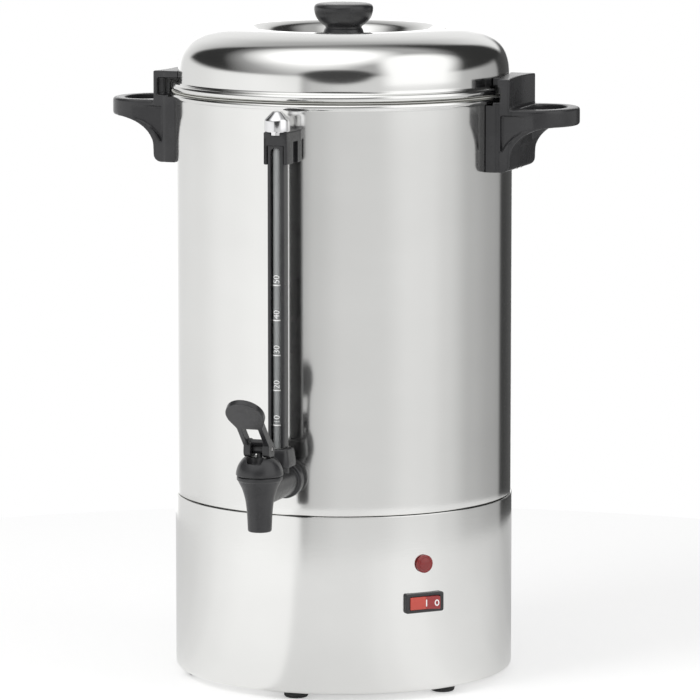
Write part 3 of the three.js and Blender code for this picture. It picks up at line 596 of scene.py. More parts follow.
def makeStudio():
    dome = addObject(
        "studioDome", bpy.ops.mesh.primitive_uv_sphere_add, segments=48, ring_count=24,
        radius=studio["radius"], location=(0, vesselAxis.y, 0.2),
    )
    for ray in ("camera", "diffuse", "transmission", "volume_scatter", "shadow"):
        setattr(dome, "visible_" + ray, False)
    finish = Finish("studioFinish")
    x, y, z, bands = aroundVessel(finish, sideBands, studio["strength"])
    height = z / studio["radius"]
    side, front = x / studio["radius"], 0 - y / studio["radius"]
    low = finish.between(height, 0.17, 0.25)
    back = finish.blendColour(finish.between(front, -0.62, -0.9), grey(0.42), grey(0.78))
    crown = finish.patch(side, front, *studio["crown"])
    sky = finish.blendColour(crown, grey(0.03), grey(0.38))
    sky = finish.blendColour(finish.patch(side, front, *studio["gap"]), sky, back)
    sky = finish.blendColour(finish.patch(side, front, *studio["window"]), sky, grey(1.15))
    light = finish.blendColour(low, bands, sky)
    rightBox = finish.patch(side, front, *studio["rightBox"])
    light = finish.blendColour(rightBox * finish.between(height, -0.05, 0.03), light, grey(1.08))
    ahead = finish.patch(side, height, *studio["ahead"])
    light = finish.blendColour(ahead * finish.between(front, 0, 0.3), light, grey(0.05))
    glow = finish.node("ShaderNodeEmission", inputs={"Color": light, "Strength": studio["strength"]})
    finish.node("ShaderNodeOutputMaterial", inputs={"Surface": glow})
    dome.data.materials.append(finish.material)


def makeLamp(name, side, height, distance, size, power):
    angle = math.radians(studio["cameraSide"] + side)
    place = vesselAxis + Vector((math.sin(angle) * distance, -math.cos(angle) * distance, height))
    lamp = addObject(name, bpy.ops.object.light_add, type="AREA", location=place)
    lamp.data.shape = "DISK"
    lamp.data.size = size
    lamp.data.energy = power
    aim = vesselAxis + Vector((0, 0, 0.22)) - place
    lamp.rotation_euler = aim.to_track_quat("-Z", "Y").to_euler()
    lamp.visible_glossy = False
    lamp.visible_camera = False


cameraPlace = {"distance": 3.5, "height": 0.7107, "aimHeight": 0.2359, "aimSide": 0.0046, "lens": 249.3}


def makeCamera():
    s = cameraPlace
    side = math.radians(studio["cameraSide"])
    across = Vector((math.cos(side), math.sin(side), 0))
    back = Vector((math.sin(side), -math.cos(side), 0))
    place = vesselAxis + back * s["distance"] + Vector((0, 0, s["height"]))
    aim = vesselAxis + across * s["aimSide"] + Vector((0, 0, s["aimHeight"]))
    camera = addObject("photoCamera", bpy.ops.object.camera_add, location=place)
    camera.data.lens = s["lens"]
    camera.data.sensor_width = 36
    camera.rotation_euler = (aim - place).to_track_quat("-Z", "Y").to_euler()
    camera.data.dof.use_dof = False
    bpy.context.scene.camera = camera


bpy.context.scene.view_settings.view_transform = "Standard"
makeWorld()
makeFloor()
makeStudio()
makeLamp("keyLamp", side=-48, height=1.5, distance=1.6, size=0.9, power=11)
makeLamp("fillLamp", side=62, height=0.9, distance=1.9, size=1.2, power=5)
makeCamera()
print("light and camera set")


# Tank: a deep drawn pot with a rolled rim and a well in its floor
tankSizes = {
    "radius": 122, "sheet": 1, "floor": 133.3, "bottomCorner": 1.1, "rim": 425.4, "bead": 2.4,
    "beadCentre": 122.4, "room": 122.5, "wellRadius": 30, "wellDepth": 11.3, "tapHole": 9.3,
    "tapHeight": 160.3, "steps": 256,
}


def makeTank():
    s = tankSizes
    wall, floor, inner = s["radius"], s["floor"], s["radius"] - s["sheet"]
    wellFloor = floor - s["wellDepth"]
    beadMiddle = s["rim"] - s["bead"]
    profile = [(0, wellFloor), (s["wellRadius"] - 5, wellFloor), (s["wellRadius"] - 1.6, wellFloor + 2)]
    profile += [(s["wellRadius"] + 0.2, floor - 0.6), (s["wellRadius"] + 1.5, floor)]
    profile += arc((wall - s["bottomCorner"], floor + s["bottomCorner"]), s["bottomCorner"], -90, 0, 6)
    profile += [(wall, height) for height in (142, 151, 170, 182, 240, 300, 360, 412, 419.4, 420.2)]
    profile += [(wall + 0.08, 420.7), (wall + 0.4, 421.1)]
    profile += arc((s["beadCentre"], beadMiddle), s["bead"], -50, 100, 12)
    profile += [(inner + 0.35, s["rim"] - 0.35), (inner, s["rim"] - 1.2)]
    profile += [(inner, height) for height in (412, 182, 170, 151, 142)]
    profile += arc((inner - 2.6, floor + 3.8), 2.6, 0, -90, 5)
    profile += [(s["wellRadius"] + 2, floor + 1.2), (s["wellRadius"] - 0.6, floor + 0.3)]
    profile += [
        (s["wellRadius"] - 2.6, wellFloor + 3), (s["wellRadius"] - 5.6, wellFloor + 1.2),
        (0, wellFloor + 1.2),
    ]
    tank = spinProfile("tank", profile, s["steps"])
    cutFrom(tank, bar("tapHole", "Y", s["tapHole"], -130, -110, (0, 0, s["tapHeight"])))
    return settle(tank, polishedSteel, "vessel", ["tank"])


# Base: a shell rolled under at the bottom, with a shelf that carries the tank
baseSizes = {
    "radius": 122.8, "sheet": 1, "foot": 5, "corner": 3.3, "seam": 133, "lipInner": 98, "shelfInner": 108,
    "room": 123.3, "switchHeight": 69.7, "lampHeight": 97.6, "lampHole": 5.2, "inletHeight": 45,
    "steps": 256,
}


def makeBaseShell():
    s = baseSizes
    wall, low, seam, corner = s["radius"], s["foot"], s["seam"], s["corner"]
    inner = wall - s["sheet"]
    profile = [(s["lipInner"], low)]
    profile += arc((wall - corner, low + corner), corner, -90, 0, 8)
    profile += [(wall, height) for height in (12, 27, 36, 54, 62.5, 77, 90, 105, 122, 131)]
    profile += arc((wall - 0.4, seam - 0.4), 0.4, 0, 90, 4)
    profile += [(wall - 3, seam), (s["shelfInner"], seam), (s["shelfInner"], seam - s["sheet"])]
    profile += [(inner, seam - s["sheet"])]
    profile += [(inner, height) for height in (122, 105, 90, 77, 62.5, 54, 36, 27, 12)]
    profile += arc((inner - corner + 1, low + corner), corner - 1, 0, -90, 5)
    profile += [(s["lipInner"], low + s["sheet"])]
    shell = spinProfile("baseShell", profile, s["steps"], closed=True)
    z, inlet = s["switchHeight"], s["inletHeight"]
    switchHole = block("switchHole", (-13.9, 13.9), (-130, -115), (z - 5.9, z + 5.9))
    lampHole = bar("lampHole", "Y", s["lampHole"], -130, -115, (0, 0, s["lampHeight"]))
    for tool in (switchHole, lampHole):
        turnPiece(tool, panelAngle)
    inletHole = block("inletHole", (-13.6, 13.6), (115, 130), (inlet - 15.6, inlet + 15.6))
    cutFrom(shell, switchHole, lampHole, inletHole)
    return settle(shell, polishedSteel, "vessel", ["base_shell"])


# Lid: a spun dome with a crest, a dish round the knob and a rolled flange notched at the two hooks
lidSizes = {
    "wall": 119.8, "flangeLow": 426.6, "flangeTop": 432, "flangeRadius": 124.8, "sheet": 1, "dish": 459,
    "screwHole": 2.8, "notchStart": -11.5, "notchEnd": 17.2, "steamHole": 1.6, "steamReach": 77,
    "steps": 256,
}
lidRow = [
    (119.8, 433.6), (119.75, 438.5), (119.5, 442.5), (119, 446.4), (118, 450.4), (116.5, 454.2),
    (114.2, 457.9), (111, 461.2), (107, 464), (101, 467), (95, 469), (88, 470.6), (80, 471.6), (73, 472),
    (68.5, 471.9), (65.3, 471), (62, 469.2), (58.5, 466.3), (54.5, 462.9), (50.5, 460.4), (46, 459.2),
    (40, 459), (30, 459), (18, 459),
]


# Cuts a ring away at the two handles, so that it lifts past their hooks
def cutHookNotches(piece, low, high):
    s = lidSizes
    for handle in (0, 180):
        start, end = handle + s["notchStart"], handle + s["notchEnd"]
        outline = arc((0, 0), 130, start, end, 12) + arc((0, 0), s["wall"] + 0.15, end, start, 24)
        cutFrom(piece, extrudeOutline("notch", "Z", outline, low, high))


def makeLid():
    s = lidSizes
    half = (s["flangeTop"] - s["flangeLow"]) / 2
    middle = s["flangeLow"] + half
    outside = smoothRow(lidRow, 4)
    inside = offsetRow(outside, s["sheet"])
    inside.reverse()
    profile = [(s["wall"] - s["sheet"], s["flangeLow"]), (s["wall"] - 0.2, s["flangeLow"])]
    profile += arc((s["flangeRadius"] - half, middle), half, -90, 90, 12)
    profile += [(s["wall"] + 0.7, s["flangeTop"]), (s["wall"] + 0.2, s["flangeTop"] + 0.5)]
    profile += outside + [(s["screwHole"], s["dish"]), (s["screwHole"], s["dish"] - s["sheet"])] + inside
    profile += [(s["wall"] - s["sheet"], s["flangeTop"])]
    lid = spinProfile("lid", profile, s["steps"], closed=True)
    cutHookNotches(lid, s["flangeLow"] - 2, s["flangeTop"] + 1)
    cutFrom(lid, bar("steamHole", "Z", s["steamHole"], 460, 480, (s["steamReach"], 0, 0), 24))
    return settle(lid, polishedSteel, "lid", ["lid"])


makeTank()
makeBaseShell()
makeLid()
print("steel vessel made")


# Knob: turned in one piece, with a flared foot, a waist and a domed cap
knobSizes = {"foot": 459.3, "top": 488.8, "bore": 2.7, "boreTop": 474, "steps": 128}
knobRow = [
    (17.2, 459.6), (17.4, 461), (16.6, 463.2), (15.4, 465.6), (14.4, 468), (13.9, 469.6), (13.2, 470.6),
    (13.0, 471.4), (13.8, 472.4), (15.8, 473.8), (18, 475.9), (19.9, 478.8), (21, 482.2), (21.3, 484.6),
    (21.1, 486.2), (20.2, 487.5), (18.4, 488.3), (15, 488.65), (9, 488.78), (0, 488.8),
]


def makeKnob():
    s = knobSizes
    profile = [(0, s["boreTop"]), (s["bore"], s["boreTop"]), (s["bore"], s["foot"]), (16.8, s["foot"])]
    knob = spinProfile("knob", profile + smoothRow(knobRow, 4), s["steps"])
    return settle(knob, blackPlastic, "lid", ["knob"])


makeKnob()
print("knob made")


# Handles: a leg on the tank, a D loop on two gussets, and an arm that hooks over the lid's flange
handleSizes = {
    "half": 33.2, "plateHalf": 34, "plateReach": 125.8, "post": 135, "reach": 176, "loopLow": 404.8,
    "loopTop": 417.6, "loopHalf": 32.4, "loopCentre": 149, "legLow": 372.5, "top": 439, "hookLow": 432.8,
    "fingerHalf": 24, "gussetReach": 165, "gussetFoot": 382, "gussetHalf": 32.4, "slot": 127.6,
    "slotLow": 422.5, "hookStart": -20, "faceRadius": 142.5, "fingerWall": 3, "fingerCorner": 10.5,
    "hollowTurn": 4.6, "hollowDepth": 3, "screwReach": 129.4, "screwSide": 5.5, "headRadius": 4.2,
    "shankRadius": 2.3, "shankTop": 384.6, "rimSpace": 127.5, "lidSpace": 120.6,
    "bracketPocket": ((110, 124.8), (-9, 9), (374.5, 405.5)),
    "tabPocket": ((110, 133.6), (-10.5, 10.5), (377.6, 380.9)),
}

hollowOutline = [
    (128.1, 385.6), (132.2, 392.6), (137.2, 397.6), (142.1, 400.6), (150, 403.6), (156, 405),
    (156, 413.2), (128.1, 413.2),
]


def makeHandleBody():
    s = handleSizes
    half, low, top, post = s["half"], s["legLow"], s["top"], s["post"]
    leg = [(112, low)] + arc((post - 6, low + 6), 6, -90, 0, 8) + [(post, top), (112, top)]
    handle = extrudeOutline("handleRight", "Y", leg, -half, half)
    backPlate = block("backPlate", (112, s["plateReach"]), (-s["plateHalf"], s["plateHalf"]), (low, top))
    rise, reach, side = s["loopLow"] - s["gussetFoot"], s["gussetReach"], s["gussetHalf"]
    curve = [(post - 5, s["gussetFoot"])]
    curve += ellipseArc((reach, s["gussetFoot"]), (reach - post, rise), 180, 90, 24)
    curve += [(reach, s["loopLow"] + 2), (post - 5, s["loopLow"] + 2)]
    gussets = extrudeOutline("gussets", "Y", curve, -side, side)
    centre, wide = s["loopCentre"], s["loopHalf"]
    bow = [(124, -wide)] + ellipseArc((centre, 0), (s["reach"] - centre, wide), -90, 90, 40) + [
        (124, wide),
    ]
    shapeWith(gussets, "INTERSECT", extrudeOutline("under", "Z", bow, 370, 420))
    loop = extrudeOutline("loop", "Z", bow, s["loopLow"], s["loopTop"])
    return joinTo(handle, backPlate, gussets, bevelEdges(loop, 1.8, 3))


# The finger hole, the shallow hollows in the gussets' sides, and the arm's slots and curved outer face
def cutHandle(handle):
    s = handleSizes
    finger, centre, corner = s["fingerHalf"], s["loopCentre"], s["fingerCorner"]
    back = s["post"] + s["fingerWall"] + corner
    hole = ellipseArc((centre, 0), (s["reach"] - centre - 9, finger), -90, 90, 32)
    hole += arc((back, finger - corner), corner, 90, 180, 10)
    hole += arc((back, corner - finger), corner, 180, 270, 10)
    tools = [extrudeOutline("fingers", "Z", hole, 360, 422)]
    outside = 6  # how far off the flank a cutter starts
    for side in (-1, 1):
        flank, depth = side * s["half"], side * s["hollowDepth"]
        hollow = extrudeOutline("hollow", "Y", hollowOutline, flank + side * outside, flank - depth)
        pivot = (hollowOutline[0][0], flank, 0)
        tools.append(turnPiece(hollow, side * math.radians(s["hollowTurn"]), "Z", pivot))
    face, slot, low, high, top = s["faceRadius"], s["slot"], s["slotLow"], s["hookLow"], s["top"] + 1
    tools += [
        block("core", (110, slot), (-40, 22), (low, high)),
        block("openEnd", (110, slot + 3.9), (26, 40), (low - 1, high + 1.2)),
        block("entry", (110, slot - 1.6), (-40, s["hookStart"]), (high - 1, top)),
        bar("outerFace", "Z", face, s["loopTop"], top, (s["post"] - 4 + face, 0, 0), 256),
    ]
    return cutFrom(handle, *tools)


def makeHandles():
    s = handleSizes
    handle = cutHandle(makeHandleBody())
    joinTo(handle, bar("rib", "Z", 2.9, s["slotLow"] - 2, s["hookLow"] + 2, (129.9, 26.4, 0), 32))
    mould(handle, voxel=0.6, soften=8, keep=0.4)
    cutFrom(
        handle, bar("wallSpace", "Z", tankSizes["room"], 360, 421.5, sides=256),
        bar("rimSpace", "Z", s["rimSpace"], 420.2, s["hookLow"], sides=256),
        bar("lidSpace", "Z", s["lidSpace"], 430, 445, sides=256),
        block("bracketPocket", *s["bracketPocket"]), block("tabPocket", *s["tabPocket"]),
    )
    for across in (-s["screwSide"], s["screwSide"]):
        place = (s["screwReach"], across, 0)
        cutFrom(
            handle, bar("headHole", "Z", s["headRadius"], s["legLow"] - 1, s["legLow"] + 3.1, place, 32),
            bar("shankHole", "Z", s["shankRadius"], s["legLow"] + 2, s["shankTop"], place, 24),
        )
    twin = copyPiece(handle, "handleLeft")
    turnPiece(twin, math.pi)
    settle(handle, blackPlastic, "vessel", ["handle_right"], 50)
    settle(twin, blackPlastic, "vessel", ["handle_left"], 50)


makeHandles()
print("handles made")


# Tap: drawn about the spout's axis
tapSizes = {
    "reach": 184, "shankHeight": tankSizes["tapHeight"], "shankRadius": 11, "collarRadius": 13,
    "bossRadius": 8, "boss": 38.6, "gasketRadius": 12.6, "spoutTip": 132.3, "top": 171.4, "rimRadius": 16,
    "pin": 190.5, "bonnetTop": 184.6, "lean": 45,
}
spoutRow = [
    (8.1, 132.6), (8.35, 133.6), (8.5, 136.5), (8.7, 141), (9.1, 147.2), (10, 154.3), (12.1, 161.8),
    (14.3, 166.4), (15.2, 168.2),
]
atSpout = (0, -tapSizes["reach"], 0)


def makeTapBody():
    s = tapSizes
    shank, wall = s["shankHeight"], s["reach"] - tankSizes["radius"]
    profile = [(0, s["spoutTip"]), (7.6, s["spoutTip"])] + smoothRow(spoutRow, 4)
    profile += [
        (15.9, 168.7), (s["rimRadius"], 169.4), (s["rimRadius"], 171), (15.5, s["top"]), (0, s["top"]),
    ]
    body = spinProfile("tapBody", profile, 128)
    joinTo(
        body, bar("shank", "Y", s["shankRadius"], 2, wall - 5, (0, 0, shank), 96),
        bar("boss", "Z", s["bossRadius"], shank, 172, (0, s["boss"], 0), 64),
    )
    collar = bar("collar", "Y", s["collarRadius"], wall - 11.4, wall - 4.3, (0, 0, shank), 96)
    thread = bar("thread", "Y", 9, wall - 5, wall + 14, (0, 0, shank), 48)
    joinTo(body, bevelEdges(collar, 0.9, 3), thread)
    mould(body, voxel=0.4, soften=4, keep=0.45)
    chamber = spinProfile("chamber", [
        (0, s["spoutTip"] - 2), (5.9, s["spoutTip"] - 2), (5.7, 150), (4.6, 153), (4.6, 155.8),
        (8, 155.8), (8.3, 158), (12.4, 168), (12.9, s["top"] + 1), (0, s["top"] + 1),
    ], 96)
    bore = bar("bore", "Y", 4.5, 0, wall + 20, (0, 0, shank + 1.4), 48)
    gaugeBore = bar("gaugeBore", "Z", 2.6, shank + 1, 175, (0, s["boss"], 0), 32)
    cutFrom(body, chamber, bore, gaugeBore)
    return settle(body, blackPlastic, "vessel", ["tap_body"], 50, atSpout)


# The bonnet: a dome with a flat top, and a hollow in front between the lever's cams
def makeBonnet():
    s = tapSizes
    dome = spinProfile("tapBonnet", [
        (0, s["top"] + 0.3), (15.9, s["top"] + 0.3), (16.4, s["top"] + 0.8), (16.55, s["top"] + 1.3),
    ] + arc((0, 171.8), 16.6, 5, 50.4, 14) + [(0, s["bonnetTop"])], 128)
    hollow = bar("hollow", "Z", 6, 180.6, 190, (0, -8.6, 0), 64)
    turnPiece(hollow, math.radians(-10), "X", (0, -8.6, 182))
    cutFrom(dome, hollow)
    mould(dome, voxel=0.3, soften=4, keep=0.4)
    cutFrom(
        dome, bar("bonnetChamber", "Z", 9.2, 170, 179.4, sides=64),
        bar("stemHole", "Z", 2.25, 178, 186, sides=32),
        bar("camSeat", "Z", 20, s["bonnetTop"], 188, sides=32),
    )
    return settle(dome, blackPlastic, "vessel", ["tap_bonnet"], 50, atSpout)


# The lever: an oval thumb pad on two legs with a window between them, and two cams astride the stem's eye
leverSizes = {
    "half": 9.4, "legInner": 6, "camInner": 4.4, "padHalf": 13.6, "padMiddle": 41, "padTip": 55,
    "padStart": 26, "rise": 2.6, "travel": 43, "foot": 5.6,
}


def camOutline():
    s = leverSizes
    foot, rise = s["foot"], s["rise"]
    points = [(-4.5, 1 - foot), (-3.5, -foot), (rise, -foot)]
    for i in range(1, 9):
        turn = math.radians(s["travel"] * i / 8)
        height = foot + rise * turn
        points.append((
            rise * math.cos(turn) + height * math.sin(turn),
            rise * math.sin(turn) - height * math.cos(turn),
        ))
    return points + [(7.6, -1.4), (7.2, 2.6), (5.4, 6), (2.4, 7.7), (-1.2, 4.6), (-3.4, 3.2), (-4.5, 1.4)]


def makeLever():
    s = leverSizes
    half, wide, middle, tip = s["half"], s["padHalf"], s["padMiddle"], s["padTip"]
    side = [(half, s["padStart"]), (half + 0.5, 28), (11.6, 32), (13.2, 36.4), (wide, middle)]
    right = smoothRow(side, 5)[:-1] + ellipseArc((0, middle), (wide, tip - middle), 0, 90, 16)
    outline = right + [(-x, z) for x, z in reversed(right[:-1])]
    lever = extrudeOutline("tapLever", "Y", outline, -3, 1)
    thick = half - s["legInner"]
    legs = [block("leg", (low, low + thick), (-3, 3), (2, 29)) for low in (-half, s["legInner"])]
    joinTo(lever, *legs, block("bridge", (-7, 7), (-1, 2), (5, 8.5)))
    turnPiece(lever, math.radians(tapSizes["lean"]), "X")
    thick, cam = half - s["camInner"], [(-out, up) for out, up in camOutline()]
    cams = [extrudeOutline("cam", "X", cam, low, low + thick) for low in (-half, s["camInner"])]
    joinTo(lever, *cams)
    mould(lever, voxel=0.3, soften=4, keep=0.45)
    cutFrom(lever, bar("pinHole", "X", 1.85, -12, 12, sides=32))
    movePiece(lever, (0, 0, tapSizes["pin"]))
    return settle(lever, blackPlastic, "lever", ["tap_lever"], 50, atSpout)


def makeStem():
    pin = tapSizes["pin"]
    stem = spinProfile("tapStem", [
        (0, 158.7), (1.9, 158.7), (1.9, 163.6), (5.2, 163.6), (5.5, 163.9), (5.5, 164.7), (5.2, 165),
        (1.9, 165), (1.9, pin - 2.4), (0, pin - 2.4),
    ], 48)
    eye = bevelEdges(bar("eye", "X", 3.7, -4.1, 4.1, (0, 0, pin), 64), 0.6, 3)
    joinTo(stem, eye)
    cutFrom(stem, bar("eyeHole", "X", 1.7, -5, 5, (0, 0, pin), 32))
    settle(stem, blackPlastic, "stem", ["tap_stem"], 40, atSpout)
    cup = spinProfile("seatCup", [
        (0, 156.2), (6.3, 156.2), (6.7, 156.7), (6.9, 158), (6.6, 159.8), (6, 161.3), (5.6, 161.5),
        (2.2, 161.5), (2.2, 158.4), (0, 158.4),
    ], 64)
    settle(cup, silicone, "stem", ["seat_cup"], 40, atSpout)
    pinPiece = bevelEdges(bar("leverPin", "X", 1.4, -9.4, 9.4, (0, 0, pin), 32), 0.25, 2)
    return settle(pinPiece, plainSteel, "stem", ["lever_pin"], 40, atSpout)


# A wound wire between the stem's collar and the bonnet, which the stem squeezes as it rises; here it is
# built in one fixed shape
springSizes = {
    "low": 165.85, "high": 178.55, "coils": 5, "wire": 0.55, "radius": 4.4, "around": 12, "steps": 36,
}


def makeSpring():
    s = springSizes
    low, high, wire = s["low"], s["high"], s["wire"]
    spring = addObject(
        "tapSpring", bpy.ops.mesh.primitive_circle_add, vertices=s["around"], radius=wire,
        location=(s["radius"], 0, low), rotation=turnOf["Y"],
    )
    applyTransform()
    addModifier(
        spring, "SCREW", axis="Z", screw_offset=(high - low) / s["coils"], iterations=s["coils"],
        steps=s["steps"], render_steps=s["steps"],
    )
    editPiece(spring)
    bpy.ops.mesh.fill_holes(sides=0)
    endEdit()
    closeMesh(spring)
    settle(spring, plainSteel, None, ["tap_spring"], 60, atSpout)
    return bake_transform(spring)


makeTapBody()
makeBonnet()
makeLever()
makeStem()
makeSpring()
print("tap made")


# Sight gauge: a glass tube in a slotted guard, from a socket on the tap up to a clip on the wall
gaugeSizes = {
    "reach": 145.4, "bottom": 185.6, "guardTop": 398.1, "clipLow": 385, "clipTop": 407.7, "clipHalf": 8.7,
    "guardWidth": 12.2, "guardFront": 4.5, "guardBack": 5.9, "channel": 3.7, "tube": 3.2,
    "markThick": 0.07, "firstMark": 201.7, "markStep": 24.7, "markCount": 5, "numberSize": 6.2,
}
atTube = (0, -gaugeSizes["reach"], 0)


# Draws the top face up and makes it smaller
def raiseTop(piece, height, factor):
    top = max(v.co.z for v in piece.data.vertices)
    editPiece(piece, "FACE", "DESELECT")
    mesh = bmesh.from_edit_mesh(piece.data)
    for face in mesh.faces:
        if all(abs(v.co.z - top) < 0.01 for v in face.verts):
            face.select_set(True)
    mesh.select_flush_mode()
    bmesh.update_edit_mesh(piece.data)
    drawOut((0, 0, height))
    bpy.ops.transform.resize(value=(factor, factor, 1), center_override=(0, 0, top))
    endEdit()
    return piece


def makeGaugeSocket():
    outline = roundedOutline(21.4, 21.4, 4.4)
    socket = extrudeOutline("gaugeSocket", "Z", outline, 172.4, 176.8)
    raiseTop(raiseTop(socket, 5.6, 0.93), 3.2, 0.92)
    bevelEdges(socket, 0.9, 3, 50)
    cutFrom(
        socket, bar("lowBore", "Z", 2.6, 170, 176.4, sides=32), bar("bore", "Z", 3.6, 175, 190, sides=48),
        bar("sealSeat", "Z", 6.4, 181.6, 190, sides=64),
    )
    return settle(socket, blackPlastic, "vessel", ["gauge_socket"], 45, atTube)


def makeGuard():
    s = gaugeSizes
    low, high, half = s["bottom"] + 0.3, s["guardTop"], s["channel"]
    outline = roundedOutline(s["guardWidth"], s["guardFront"] + s["guardBack"], 1.3)
    middle = (s["guardBack"] - s["guardFront"]) / 2
    guard = extrudeOutline("gaugeGuard", "Z", [(x, y + middle) for x, y in outline], low, high)
    cutFrom(
        guard, block("channel", (-half, half), (-10, 3.6), (low - 1, high - 4.9)),
        bar("channelEnd", "Y", half, -10, 3.6, (0, 0, high - 4.9), 48),
        bar("tubeWay", "Z", half, 390, 405, sides=48),
    )
    bevelEdges(guard, 0.35, 2, 50)
    return settle(guard, blackPlastic, "vessel", ["gauge_guard"], 45, atTube)


def makeClip():
    s = gaugeSizes
    low, high, front, wide = s["clipLow"], s["clipTop"], -s["reach"] - 4.8, s["clipHalf"]
    clip = bevelEdges(block("gaugeClip", (-wide, wide), (front, -119), (low, high)), 0.9, 3)
    slot = s["guardWidth"] / 2 + 0.3
    depth = (front - 1, s["guardBack"] + 0.3 - s["reach"])
    cutFrom(
        clip, block("guardSlot", (-slot, slot), depth, (low - 1, s["guardTop"] + 0.3)),
        block("waist", (6.4, 12), (-137, -127), (low - 1, high - 7.4)),
        block("waist", (-12, -6.4), (-137, -127), (low - 1, high - 7.4)),
        bar("groove", "Z", 0.55, low - 1, high - 4.5, (-7.5, front, 0), 24),
        bar("wallSpace", "Z", tankSizes["room"], 380, 412, sides=256),
        bar("tubeHole", "Z", s["channel"], 397, high + 1, atTube, 48),
        bar("capSeat", "Z", 5.9, 405.2, high + 1, atTube, 48),
    )
    return settle(clip, blackPlastic, "vessel", ["gauge_clip"], 45)


# A printed number, turned to read upwards and wrapped on the glass
def makeNumber(value, height, tube):
    s = gaugeSizes
    number = addObject("number", bpy.ops.object.text_add, location=(0, 0, 0))
    number.data.body = str(value)
    number.data.size = s["numberSize"]
    number.data.align_x = "LEFT"
    number.data.align_y = "CENTER"
    bpy.ops.object.convert(target="MESH")
    number = bpy.context.object
    number.rotation_euler = (math.pi / 2, -math.pi / 2, 0)
    number.location = (0.3, -6, height + 1.1)
    applyTransform()
    editPiece(number)
    bpy.ops.mesh.quads_convert_to_tris()
    bpy.ops.mesh.subdivide(number_cuts=1)
    endEdit()
    return addModifier(
        number, "SHRINKWRAP", target=tube, wrap_method="PROJECT", use_project_y=True,
        offset=s["markThick"], use_positive_direction=True, use_negative_direction=False,
        use_project_x=False, use_project_z=False,
    )


def joinPieces(name, pieces):
    clearSelection()
    for piece in pieces:
        piece.select_set(True)
    bpy.context.view_layer.objects.active = pieces[0]
    bpy.ops.object.join()
    pieces[0].name = name
    return pieces[0]


def makeTubeAndMarks():
    s = gaugeSizes
    radius = s["tube"]
    tube = spinProfile("gaugeTube", [
        (2.1, 176.5), (2.3, 176.3), (3, 176.3), (radius, 176.5), (radius, 404.8), (3, 405), (2.3, 405),
        (2.1, 404.8),
    ], 64, closed=True)
    marks = []
    for i in range(s["markCount"]):
        height = s["firstMark"] + i * s["markStep"]
        band = arc((0, 0), radius + s["markThick"], -162, -22, 24)
        band += arc((0, 0), radius + 0.01, -22, -162, 24)
        marks.append(extrudeOutline("tick", "Z", band, height - 0.45, height + 0.45))
        marks.append(makeNumber(10 * (i + 1), height, tube))
    joined = joinPieces("gaugeMarks", marks)
    settle(tube, clearGlass, "vessel", ["gauge_tube"], 50, atTube)
    return settle(joined, whiteInkPaintedGlow, "vessel", (), 50, atTube)


def makeGaugeCap():
    top = gaugeSizes["clipTop"] + 0.3
    cap = spinProfile("gaugeCap", [
        (0, 405.6), (5.5, 405.6), (5.5, top), (8.6, top), (9, top + 0.5), (9, 415.6), (8.8, 416.3),
        (8.3, 416.9), (3.6, 421.7), (2.6, 422.2), (0, 422.4),
    ], 64)
    settle(cap, chromePlate, "vessel", ["gauge_cap"], 30, atTube)
    seal = spinProfile("gaugeSeal", [
        (3.6, 182.2), (3.9, 181.9), (5.7, 181.9), (6, 182.2), (6, 185), (5.7, 185.3), (3.9, 185.3),
        (3.6, 185),
    ], 48, closed=True)
    return settle(seal, silicone, "vessel", ["gauge_seal"], 50, atTube)


makeGaugeSocket()
makeGuard()
makeClip()
makeTubeAndMarks()
makeGaugeCap()
print("gauge made")


# Switch and lamp, drawn on the tap side and turned to their place on the base
panelSizes = {"face": 125.2, "pivot": 121.6, "tilt": 8, "half": 11.3, "valley": 4.6, "lensBack": 120.2}


def onPanel(piece):
    return turnPiece(piece, panelAngle)


def makeSwitchFrame():
    s = panelSizes
    z, face = baseSizes["switchHeight"], -s["face"]
    outline = roundedOutline(30.4, 14, 1.6)
    bezel = extrudeOutline("switchFrame", "Y", [(x, z + y) for x, y in outline], face, face + 8)
    bevelEdges(bezel, 0.6, 3)
    cutFrom(bezel, bar("wallSpace", "Z", baseSizes["room"], 0, 130, sides=256))
    joinTo(bezel, block("housing", (-13.6, 13.6), (-124, -102), (z - 5.7, z + 5.7)))
    cutFrom(bezel, block("window", (-12.1, 12.1), (-130, -112), (z - 4.9, z + 4.9)))
    return settle(onPanel(bezel), blackPlastic, "vessel", ["switch_frame"], 40)


# Seats a mark on one half of the rocker's shallow V
def onRocker(mark, across):
    s = panelSizes
    slope = math.radians(s["tilt"]) * (-1 if across > 0 else 1)
    turnPiece(mark, slope)
    return movePiece(mark, (across, -s["valley"] - abs(across) * math.tan(math.radians(s["tilt"])), 0))


def placeRocker(piece):
    s = panelSizes
    turnPiece(piece, -math.radians(s["tilt"]))
    movePiece(piece, (0, -s["pivot"], baseSizes["switchHeight"]))
    return onPanel(piece)


